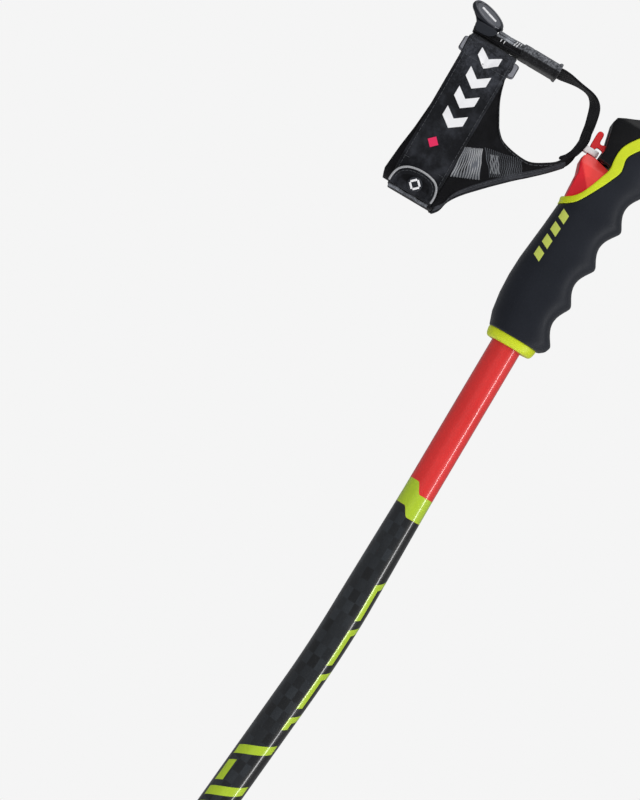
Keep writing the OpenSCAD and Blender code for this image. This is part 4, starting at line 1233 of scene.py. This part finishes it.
AIR_TOP, AIR_LOW = ((-68.6, 81.6), (-60.6, 85.4)), ((-67.4, 66.0), (-54.4, 71.8))
SHINY_TOP, SHINY_LOW = ((-55.6, 85.2), (-52.2, 86.4)), ((-51.0, 77.6), (-47.2, 79.4))
FINE_TOP, FINE_LOW = ((-60.2, 86.6), (-41.0, 91.2)), ((-50.6, 75.6), (-36.4, 84.0))
knit = grid_mesh("mesh_patch", [patch(AIR_TOP, AIR_LOW, 0.45, 0.5)])
place(knit, "strap", "strap_mesh", mesh_knit.material, "mesh_insert")
air_ribs = grid_mesh("mesh_ribs", ribs(AIR_TOP, AIR_LOW, 11, 0.34)
                     + ribs(SHINY_TOP, SHINY_LOW, 5, 0.3, 0.62))
place(air_ribs, "strap", "strap_mesh", rib_light.material)
fine_ribs = grid_mesh("mesh_fine_ribs", ribs(FINE_TOP, FINE_LOW, 19, 0.24, 0.55))
place(fine_ribs, "strap", "strap_mesh", rib_dark.material)

# %% [markdown]
# ### Buckle
# A flat metal-coated ring lies inside the upper fold of the cuff, tilted with it, and its two ends
# stand out at the edges. It is a band whose inner and outer edges are both rounded rectangles.

# %% Buckle ring
RING_X, RING_LEAN, RING_REACH = (-96.8, -65.2), np.radians(36), 10.5


def oblong(t, hx, hz, power):
    """A rounded rectangle: cosine and sine raised to a small power."""
    c, s = np.cos(t), np.sin(t)
    return hx * np.sign(c) * np.abs(c) ** power, hz * np.sign(s) * np.abs(s) ** power


def in_fold(x, u, out=0.0):
    """A point of the plane that leans with the fold: u runs up it."""
    y = -(RING_REACH + out) * np.cos(RING_LEAN) + u * np.sin(RING_LEAN)
    z = CUFF_HIGH + (RING_REACH + out) * np.sin(RING_LEAN) + u * np.cos(RING_LEAN)
    return np.stack([x, y, z], -1)


round_trip = np.linspace(0, 2 * np.pi, 121)[:-1]
middle_x, reach_x = sum(RING_X) / 2, (RING_X[1] - RING_X[0]) / 2
out_x, out_u = oblong(round_trip, reach_x, 5.4, 0.22)
in_x, in_u = oblong(round_trip, reach_x - 3.4, 2.8, 0.22)
ring_out, ring_in = in_fold(middle_x + out_x, out_u), in_fold(middle_x + in_x, in_u)
fold_up = np.array([0, -np.cos(RING_LEAN), np.sin(RING_LEAN)])
ring_band = band((ring_out + ring_in) / 2, (ring_out - ring_in) / 2, fold_up, 1.7, wrap=True)
ring = grid_mesh("buckle", [ring_band], wrap_rows=True)
grey_metal = moulded("grey_metal", linear(96, 97, 103), 0.22, wear=0.3, Metallic=0.55)
place(ring, "strap", "grey_plastic", grey_metal.material, "buckle_ring")

# %% [markdown]
# ### Stack of tapes
# On top of the cuff lie the closure strap, two layers of hook-and-loop tape, and over it the adjusting
# tape with a patterned weave. The tapes' cut edges look at the viewer, so each layer is its own band with
# a soft rim. The keeper that slides along both is a sleeve with a flared end: a rounded box section that
# changes row by row, with a straight bore. Its knit is heathered with flecks all over. Above a line it is
# painted lighter and below it dark, as painted sheen on the top, which faces the light, so its finish
# changes with the height.

# %% Tapes
TAPE_HALF = 6.5
heather = woven("heather_tape", linear(92, 94, 98), 1.5, painted_crown_light=2.0, relief_mm=0.2, patch=0.6,
                stretch=0.5)


def flat_tape(x0, x1, z, thick, half=TAPE_HALF, wave=0.0):
    """A straight tape along X whose height follows a faint sine wave."""
    x = np.linspace(x0, x1, 60)
    high = z + wave * np.sin(0.55 * x + z)
    centre = np.stack([x, 0 * x, high], -1)
    return band(centre, np.stack([0 * x, 0 * x + half, 0 * x], -1), (0, 0, 1), thick)


closure = grid_mesh("closure_tapes", [flat_tape(-94.2, -47.4, 135.85, 1.5, wave=0.06),
                                      flat_tape(-93.4, -47.4, 137.45, 1.5, TAPE_HALF - 0.3, 0.06),
                                      flat_tape(-93.6, -80.2, 134.7, 0.9, 4.0)])
place(closure, "strap", "strap_webbing", tape.material, "closure_strap")
adjusting = grid_mesh("adjusting_tapes", [flat_tape(-82.6, -47.4, 139.1, 1.5, TAPE_HALF - 0.1, 0.07),
                                          flat_tape(-82.2, -47.4, 140.8, 1.6, TAPE_HALF - 0.3, 0.09)])
place(adjusting, "strap", "strap_webbing", heather.material, "adjust_webbing")


# %% Keeper
f = Finish("keeper_knit", linear(40, 41, 45), 0.5, Specular_IOR_Level=0.3, Sheen_Weight=0.1)
at = f.place(DATUM)
_, _, z = f.parts(at)
# Painted sheen: above a line at 138.3 to 139.1 mm the knit is painted lighter, as its top catches the
# light; the flecks are its own.
painted_top_sheen = f.span(z, 138.3, 139.1)
flecks = f.noise(at, 1.1, 4.0, 0.75)
heath = f.mix(f.span(flecks, 0.36, 0.66), linear(44, 46, 50), linear(122, 124, 129))
f.color(f.mix(painted_top_sheen, f.mix(f.span(flecks, 0.45, 0.7), linear(15, 15, 17), linear(40, 41, 44)), heath))
f.roughness(f.span(flecks, 0.3, 0.7, 0.42, 0.62))
f.bump(f.math("ADD", flecks, f.math("MULTIPLY", painted_top_sheen, 0.8)), 0.12)
keeper_knit = f


def hollow_box(outer_rows, inner_half, inner_z):
    """A rounded box tube along X: its outside follows (x, half width, low, high) row by row, and
    its bore comes back straight."""
    t = np.linspace(0, 2 * np.pi, 81)[:-1]
    rows = []
    for x, half, low, high in outer_rows:
        y, z = oblong(t, half, (high - low) / 2, 0.34)
        rows.append(np.stack([0 * y + x, y, z + (low + high) / 2], -1))
    y, z = oblong(t, inner_half, (inner_z[1] - inner_z[0]) / 2, 0.2)
    for x in (outer_rows[-1][0], outer_rows[0][0]):
        rows.append(np.stack([0 * y + x, y, z + sum(inner_z) / 2], -1))
    return np.stack(rows)


KEEPER = [(-68.5, 7.0, 134.9, 142.1), (-68.4, 7.3, 134.7, 142.3), (-68.0, 7.5, 134.55, 142.45),
          (-64.2, 7.6, 134.5, 142.5), (-63.6, 7.45, 134.6, 142.35), (-63.0, 7.45, 134.6, 142.35),
          (-62.4, 7.6, 134.5, 142.5), (-50.2, 7.6, 134.5, 142.4), (-48.8, 7.6, 134.5, 142.4),
          (-48.4, 7.95, 134.2, 142.95), (-48.0, 8.15, 134.05, 143.15), (-47.2, 8.15, 134.05, 143.15),
          (-46.85, 7.95, 134.2, 142.95), (-46.8, 7.3, 134.75, 142.3)]
keeper = grid_mesh("keeper", [hollow_box(KEEPER, 6.85, (134.95, 141.85))], wrap_rows=True)
place(keeper, "keeper", "strap_rubber", keeper_knit.material, "keeper_sleeve")

# %% [markdown]
# ### Pull tab
# An oval rubber plate on a wedge-shaped foot, sewn to the end of the adjusting tape. It has a
# polished rim and a glossy face with four raised bars to grip. The plate is a stack of scaled
# ovals, and the foot blends from an oval to a rounded rectangle. Two cheeks cover the sides of the
# tapes, and a round knuckle lies on the hinge line, so the peeled tab still hangs on its tape.

# %% Pull tab
TAB_AT, TAB_TILT, TAB_ROLL = np.array([-91.9, -0.6, 145.1]), np.radians(17), np.radians(33)
tilt = np.array([[np.cos(TAB_TILT), 0, np.sin(TAB_TILT)], [0, 1, 0],
                 [-np.sin(TAB_TILT), 0, np.cos(TAB_TILT)]])
roll = np.array([[1, 0, 0], [0, np.cos(TAB_ROLL), -np.sin(TAB_ROLL)],
                 [0, np.sin(TAB_ROLL), np.cos(TAB_ROLL)]])


def on_tab(points):
    """Points given about the middle of the tab's plate, tilted and rolled into place."""
    return TAB_AT + np.asarray(points, float) @ (tilt @ roll).T


def oval(size, height, count=72, a=10.0, b=7.1):
    """A ring of the tab: an ellipse at a share of its full size."""
    t = np.linspace(0, 2 * np.pi, count + 1)[:-1]
    return np.stack([size * a * np.cos(t), size * b * np.sin(t), 0 * t + height], -1)


TAB_LEVELS = ((0.02, -1.5), (0.6, -1.5), (0.84, -1.45), (0.94, -1.2), (0.99, -0.6), (1, 0.2),
              (0.985, 0.9), (0.94, 1.32), (0.87, 1.4), (0.82, 1.3), (0.80, 1.0), (0.02, 1.0))
tab_rows = [oval(s, h) for s, h in TAB_LEVELS]
x, y = oblong(np.linspace(0, 2 * np.pi, 73)[:-1], 5.9, 7.3, 0.35)
root = np.stack([x - 88.9, y, 0 * x + 138.4], -1)
crown_ring = on_tab(oval(0.8, -1.2))
rise = smoothstep(np.linspace(0, 1, 12))[:, None, None]
lift = np.linspace(0, 1, 12)[:, None, None]
foot = root * (1 - rise) + crown_ring * rise
foot[..., 2] = (root * (1 - lift) + crown_ring * lift)[..., 2]
CHEEK = [(-95.4, 138.9), (-94.9, 136.9), (-93.6, 135.5), (-91.5, 135.2), (-87.4, 135.6),
         (-84.8, 136.9), (-83.4, 138.9), (-84.6, 140.2), (-94.2, 140.2)]
cheeks = [plate_rows(CHEEK, y0, y0 + 0.8, 0.35) for y0 in (-7.5, 6.7)]
tab = grid_mesh("tab_body", [on_tab(np.stack(tab_rows)), foot] + cheeks)
place(tab, "pull_tab", "strap_rubber", rubber_plain.material, "pull_tab")
HINGE_X, HINGE_Z, KNUCKLE_HALF, KNUCKLE_R = -82.8, 142.6, 3.6, 0.95
hinge_line = np.stack([np.full(12, HINGE_X), np.linspace(-KNUCKLE_HALF, KNUCKLE_HALF, 12),
                       np.full(12, HINGE_Z)], -1)
knuckle = grid_mesh("tab_knuckle", [tube(hinge_line, KNUCKLE_R, KNUCKLE_R, (0, 0, 1), power=1.0)])
place(knuckle, "pull_tab", "strap_rubber", rubber_plain.material)
rim_path = on_tab(oval(0.9, 1.28))
turn_round = np.linspace(0, 2 * np.pi, 13)[:-1]
flat_up = on_tab([[0, 0, 1]])[0] - TAB_AT
outward = unit(rim_path - TAB_AT - ((rim_path - TAB_AT) @ flat_up)[:, None] * flat_up)
rim_rows = rim_path[:, None] + 0.62 * (np.cos(turn_round)[None, :, None] * outward[:, None]
                                       + 0.75 * np.sin(turn_round)[None, :, None] * flat_up)
rim = grid_mesh("tab_rim", [rim_rows], wrap_rows=True)
place(rim, "pull_tab", "grey_plastic", grey_metal.material)
FACE_LEVELS = ((0.02, 0.9), (0.80, 0.9), (0.81, 1.15), (0.78, 1.4), (0.7, 1.5), (0.02, 1.62))
face = grid_mesh("tab_face", [on_tab(np.stack([oval(s, h) for s, h in FACE_LEVELS]))])
tab_gloss = moulded("tab_gloss", linear(92, 94, 100), 0.2, wear=0.2)
place(face, "pull_tab", "grey_plastic", tab_gloss.material, "tab_inlay")
bars = []
for x, long in ((-4.0, 1.6), (-1.9, 1.9), (1.2, 3.4), (3.9, 1.4)):
    t = np.linspace(-1, 1, 9)
    line = on_tab(np.stack([x + t * long * 0.5, 0 * t - 0.6, 0 * t + 1.72], -1))
    bars.append(band(line, on_tab([[0, 0.95, 0]])[0] - TAB_AT + 0 * line, flat_up, 0.35))
tab_bars = grid_mesh("tab_bars", bars)
place(tab_bars, "pull_tab", "strap_rubber", white_print.material)

# %% [markdown]
# ### Wrist wrap and closure flap
# A wide tape runs under the cuff and up its palm side, and its front end carries a small flap with
# a piped edge, a round badge with a plain diamond frame, and a grey strip of tape at its foot. The
# flap is an arch through a few points, and each ring of its shell is that arch moved inwards.

# %% Wrist wrap
WRAP_X, WRAP_MID = (-92.0, -67.0), CUFF_R + 1.0
wrap_front = np.stack([np.linspace(-13.4, -1, 14), np.full(14, CUFF_LOW - WRAP_MID)], -1)
a = np.linspace(0, np.pi / 2, 24)
wrap_turn = np.stack([WRAP_MID * np.sin(a), CUFF_LOW - WRAP_MID * np.cos(a)], -1)
wrap_rise = np.stack([np.full(10, WRAP_MID), np.linspace(CUFF_LOW + 1.5, CUFF_LOW + 15.4, 10)], -1)
wrap_line = np.concatenate([wrap_front, wrap_turn, wrap_rise])
t = unit(np.gradient(wrap_line, axis=0))
wrap_up = np.stack([0 * t[:, 0], t[:, 1], -t[:, 0]], -1)
wrap_mid = np.column_stack([np.full(len(wrap_line), sum(WRAP_X) / 2), wrap_line])
wrap_half = np.tile([(WRAP_X[1] - WRAP_X[0]) / 2, 0, 0], (len(t), 1))
wrap = grid_mesh("wrist_wrap_tape", [band(wrap_mid, wrap_half, wrap_up, 1.4)])
place(wrap, "strap", "strap_webbing", tape.material, "wrist_wrap")

# %% Closure flap
FLAP_X, FLAP_FOOT, FLAP_BACK_Y = -80.4, 48.0, -14.4
ARCH = [(-93.2, 48.0), (-93.0, 52.3), (-91.7, 56.1), (-88.9, 58.8), (-85.5, 60.2), (-80.9, 60.9),
        (-76.2, 60.6), (-72.4, 59.4), (-69.9, 57.2), (-68.7, 54.4), (-68.3, 51.2), (-68.6, 48.0)]


def arch(inset, count=70):
    """The flap's outline from the rear foot over the top to the front foot, moved inwards."""
    line = curve_through(ARCH, count)
    t = unit(np.gradient(line, axis=0))
    inner_line = line + inset * np.stack([t[:, 1], -t[:, 0]], -1)
    return inner_line[:, 0], inner_line[:, 1]


def flap_ring(inset, y):
    """The outline shrunk by an inset and closed along its foot, at the depth y."""
    x, z = arch(inset)
    foot_x = np.linspace(x[-1], x[0], 22)[1:-1]
    x, z = np.concatenate([x, foot_x]), np.concatenate([z, np.full(20, FLAP_FOOT + inset)])
    return np.stack([x, 0 * x + y, z], -1)


flap_levels = [(4.0, FLAP_BACK_Y), (0.7, FLAP_BACK_Y), (0.2, -14.6), (0.0, -15.1), (0.1, -15.6),
               (0.5, -15.95), (1.6, -16.05), (4.0, -16.2)]
flap = grid_mesh("flap", [np.stack([flap_ring(*level) for level in flap_levels])])
place(flap, "closure_flap", "strap_fabric", cuff_cloth.material, "closure_flap")
PIPING_Y, PIPING_R = -16.2, 0.55
px, pz = arch(0.5, 110)
piping_line = np.stack([px, 0 * px + PIPING_Y, pz], -1)[3:-3]
piping = grid_mesh("flap_edge_piping", [tube(piping_line, PIPING_R, PIPING_R, (0, -1, 0), 14, 1.0)])
place(piping, "closure_flap", "strap_webbing", piping_cord.material, "flap_piping")


def boss(name, x, z, levels, count=60):
    """A round boss on the flap: circles about one line, each with its own radius and depth y."""
    t = np.linspace(0, 2 * np.pi, count + 1)[:-1]
    circles = [np.stack([x + r * np.cos(t), 0 * t + y, z + r * np.sin(t)], -1) for r, y in levels]
    return grid_mesh(name, [np.stack(circles)])


BADGE_Z = 53.0
badge = boss("badge", FLAP_X, BADGE_Z, [(0.05, -15.9), (3.7, -15.9), (3.85, -16.2), (3.8, -16.5),
                                        (3.5, -16.65), (0.05, -16.65)])
place(badge, "closure_flap", "strap_rubber", rubber_plain.material, "flap_badge")
DIAMOND, DIAMOND_Y = 2.9, -16.75
corner = np.linspace(0, 2 * np.pi, 5)[:-1]
q = np.stack([FLAP_X + DIAMOND * np.cos(corner), 0 * corner + DIAMOND_Y,
              BADGE_Z + DIAMOND * np.sin(corner)], -1)
t = np.linspace(0.14, 0.86, 12)[:, None]
sides = [tube(q[k] * (1 - t) + q[(k + 1) % 4] * t, 0.3, 0.55, (0, -1, 0), 12, 0.6) for k in range(4)]
mark = grid_mesh("badge_mark", sides)
place(mark, "closure_flap", "strap_rubber", white_print.material)
strip_x = np.linspace(-91.6, -69.9, 40)
strip_z = 46.9 + 0.15 * np.sin(0.7 * strip_x)
strip_line = np.stack([strip_x, 0 * strip_x - 13.9, strip_z], -1)
strip = grid_mesh("flap_foot_tape", [band(strip_line, np.tile([0, 0, 0.85], (40, 1)), (0, -1, 0), 0.6)])
place(strip, "strap", "strap_webbing", grey_tape.material)

# %% [markdown]
# ### Hook sleeve and thumb tape
# The narrow end of the web is sewn into a roll round the loop's bar. Two corner tapes cover the
# sides of that joint: bands that follow a curve in side view and change in width and depth along
# it. From the roll a tape runs up over the thumb and forward into the keeper, and it twists as it
# goes, so the viewer sees its edge at the ends and part of its face in the bend.

# %% Hook sleeve
SLEEVE_HALF = 2.0
SLEEVE = [(-18.7, 111.6), (-18.2, 109.8), (-18.6, 106.6), (-19.5, 103.2), (-21.0, 101.0), (-23.6, 104.2),
          (-22.2, 108.0), (-21.4, 112.0), (-20.9, 116.6), (-19.2, 117.2), (-18.9, 115.2)]
sleeve = plate("hook_sleeve_cloth", SLEEVE, -SLEEVE_HALF, SLEEVE_HALF, 0.7, count=90)
a = np.linspace(np.radians(-150), np.radians(150), 40)
roll_path = np.stack([BAR[0] + 1.5 * np.cos(a), 0 * a, BAR[1] + 1.5 * np.sin(a)], -1)
roll_up = np.stack([np.cos(a), 0 * a, np.sin(a)], -1)
roll_half = np.tile([0, SLEEVE_HALF, 0], (40, 1))
sleeve_roll = grid_mesh("hook_sleeve_roll", [band(roll_path, roll_half, roll_up, 0.9)])
place(sleeve, "strap", "strap_webbing", tape.material, "hook_sleeve")
place(sleeve_roll, "strap", "strap_webbing", tape.material)

# %% Corner tapes
# each point: x, z, y and half the width
CORNER = [(-24.8, 102.8, -2.6, 0.7), (-22.0, 105.2, -3.4, 1.4), (-19.8, 109.0, -4.2, 2.0),
          (-18.9, 113.0, -4.5, 2.2), (-18.6, 116.6, -4.0, 2.2), (-19.2, 120.4, -2.9, 2.0)]
corner_line = curve_through(CORNER, 60)
t = unit(np.gradient(corner_line[:, :2], axis=0))
corner_mid = corner_line[:, (0, 2, 1)]
corner_half = np.stack([-t[:, 1], 0 * t[:, 0], t[:, 0]], -1) * corner_line[:, 3:4]
corner_tape = band(corner_mid, corner_half, (0, -1, 0), 0.9)
corners = grid_mesh("corner_tapes", [corner_tape, mirrored(corner_tape)])
place(corners, "strap", "strap_webbing", tape.material)

# %% Thumb tape
TAPE_T = 1.4
# each point: x, z, the width and the twist in degrees
ROUTE = [(-47.4, 138.8, 11, 20), (-45, 139.0, 11, 21), (-41, 139.2, 10.5, 16), (-37, 139.1, 10, 8),
         (-34, 138.9, 9.6, 4), (-30.5, 138.5, 9.2, 3), (-27.5, 137.6, 8.8, 9), (-25, 136.0, 8.4, 21),
         (-23.1, 133.8, 8.1, 33), (-21.9, 131.2, 7.9, 39), (-20.9, 127.6, 7.6, 40), (-20.1, 124, 7.3, 39),
         (-19.6, 120.4, 6.9, 40), (-19.2, 117.2, 6.2, 43), (-19.0, 115.4, 5.4, 45)]
route = curve_through(ROUTE, 110)
heading = unit(np.gradient(route[:, :2], axis=0))
square = np.stack([-heading[:, 1], heading[:, 0]], -1)
twist = np.radians(route[:, 3])
in_plane, sideways = np.sin(twist)[:, None] * square, -np.cos(twist)
tape_half = np.stack([in_plane[:, 0], sideways, in_plane[:, 1]], -1) * route[:, 2:3] / 2
lifted = np.cos(twist)[:, None] * square
tape_up = np.stack([lifted[:, 0], np.sin(twist), lifted[:, 1]], -1)
tape_mid = np.stack([route[:, 0], 0 * route[:, 0], route[:, 1]], -1)
from_ridge = np.abs(np.abs(np.linspace(1, -1, FLATS)) - 0.72)
ridges = np.tile(0.16 * (1 - smoothstep(from_ridge / 0.14)), (110, 1))
thumb_tape = grid_mesh("thumb_tape", [band(tape_mid, tape_half, tape_up, TAPE_T, ridges)])
place(thumb_tape, "strap", "strap_webbing", tape.material, "thumb_webbing")

# %% [markdown]
# ### Stitches
# Seams hold the strap together and catch the light, so they are real: short rounded dashes laid
# along a line at an even pitch, each a small tube that dips into the cloth at both ends.


# %% Stitches
STITCH, STITCH_GAP, THREAD_R = 1.7, 2.6, 0.17


def stitches(line, up, pitch=STITCH_GAP, long=STITCH, r=THREAD_R):
    """Dashes along a line of points: each is a short arc whose middle stands over the cloth."""
    line = np.asarray(line, float)
    run = np.concatenate([[0], np.cumsum(np.linalg.norm(np.diff(line, axis=0), axis=1))])
    starts = np.arange(0.5 * pitch, run[-1] - long, pitch)
    t = np.linspace(0, 1, 6)
    at = starts[:, None] + long * t
    points = np.stack([np.interp(at, run, line[:, k]) for k in range(3)], -1)
    up = np.broadcast_to(np.asarray(up, float), line.shape)
    normal = unit(np.stack([np.interp(at, run, up[:, k]) for k in range(3)], -1))
    points = points + normal * (0.16 * np.sin(np.pi * t) - 0.02)[None, :, None]
    return [tube(p, r, r, n, count=6, power=1.0) for p, n in zip(points, normal)]


s = np.linspace(TURN_LEN * 0.7, TURN_LEN * 1.75 + SIDE_LEN, 120)
heights = cuff_place(np.full(120, -80.0), s)[0][:, 2]
seams = []
for x_line in (np.interp(heights, *FACE_EDGE.T) + 1.5, np.full(120, CUFF_FRONT - 1.5)):
    where, out_dir = cuff_place(x_line, s, 0.28)
    seams += stitches(where, out_dir)
cross_x = np.linspace(-93.0, -69.5, 30)
where, out_dir = cuff_place(cross_x, np.full(30, s_of(63.4)), 0.25)
seams += stitches(where[:6], out_dir[:6], 1.5, 1.0) + stitches(where[-6:], out_dir[-6:], 1.5, 1.0)
where, out_dir = cuff_place(cross_x, np.full(30, s_of(121.6)), 0.2)
seams += stitches(where, out_dir, 1.9, 1.2)
cuff_stitches = grid_mesh("cuff_stitches", seams + [mirrored(g) for g in seams])
place(cuff_stitches, "strap", "strap_webbing", thread.material)
inner_toward, outer_toward = unit(outer_line - inner), unit(inner - outer_line)
low_row, top_row = (outer_line + 1.5 * outer_toward)[5:80], (inner + 1.0 * inner_toward)[4:82]
web_seams = stitches(web_point(low_row[:, 0], low_row[:, 1], 0.95), web_up) + stitches(
    web_point(top_row[:, 0], top_row[:, 1], 0.9), web_up)
for edge in (AIR_TOP, AIR_LOW):
    t = np.linspace(0, 1, 20)[:, None]
    row = np.array(edge[0]) * (1 - t) + np.array(edge[1]) * t
    web_seams += stitches(web_point(row[:, 0], row[:, 1], 0.78), web_up, 2.0, 1.3)
web_stitches = grid_mesh("web_stitches", web_seams + [mirrored(g) for g in web_seams])
place(web_stitches, "strap", "strap_webbing", thread.material)
bx, bz = arch(2.2, 60)
seam_line = np.stack([bx, 0 * bx - 16.12, bz], -1)[4:-4]
flap_seam = grid_mesh("flap_stitches", stitches(seam_line, (0, -1, 0), 2.0, 1.3))
place(flap_seam, "closure_flap", "strap_webbing", thread.material)
TACK_Y = -6.3
TACKS = ((140.3, (-72.6, -71.4, -70.2)), (138.9, (-73.2, -71.8)), (137.3, (-80.0, -78.2)))
tacks = []
for z_tack, x_tacks in TACKS:
    for x in x_tacks:
        tack_line = np.array([[x - 0.1, TACK_Y, z_tack - 0.7], [x + 0.1, TACK_Y, z_tack + 0.7]])
        tacks += stitches(tack_line, (0, -1, 0), 0.6, 1.1, 0.24)
tape_tacks = grid_mesh("tape_bar_tacks", tacks)
place(tape_tacks, "strap", "strap_webbing", white_print.material)

# %% [markdown]
# ## Small parts of the CAD model, and the ground
# The core, the screw, the pin and the spring are already right as plain solids, so they only get
# their plastic and steel. The ground is a pale board that scatters light evenly and glows a
# little, which keeps it pale in its own shadows.

# %% Finishes for the CAD parts that stay
BOARD_GLOW = 0.22
for node, finish in (("grip_core", black_plastic), ("tower_screw", steel), ("lever_pin", steel),
                     ("lever_spring", steel)):
    part = frame["nodes"][node]
    part.data.materials.clear()
    part.data.materials.append(finish.material)
board = moulded("pale_board", linear(238, 238, 237), 0.75, grain=0.5, grain_mm=0.02, wear=0.0,
                Specular_IOR_Level=0.1, Emission_Color=(1, 1, 1, 1), Emission_Strength=BOARD_GLOW)
ground.data.materials.clear()
ground.data.materials.append(board.material)
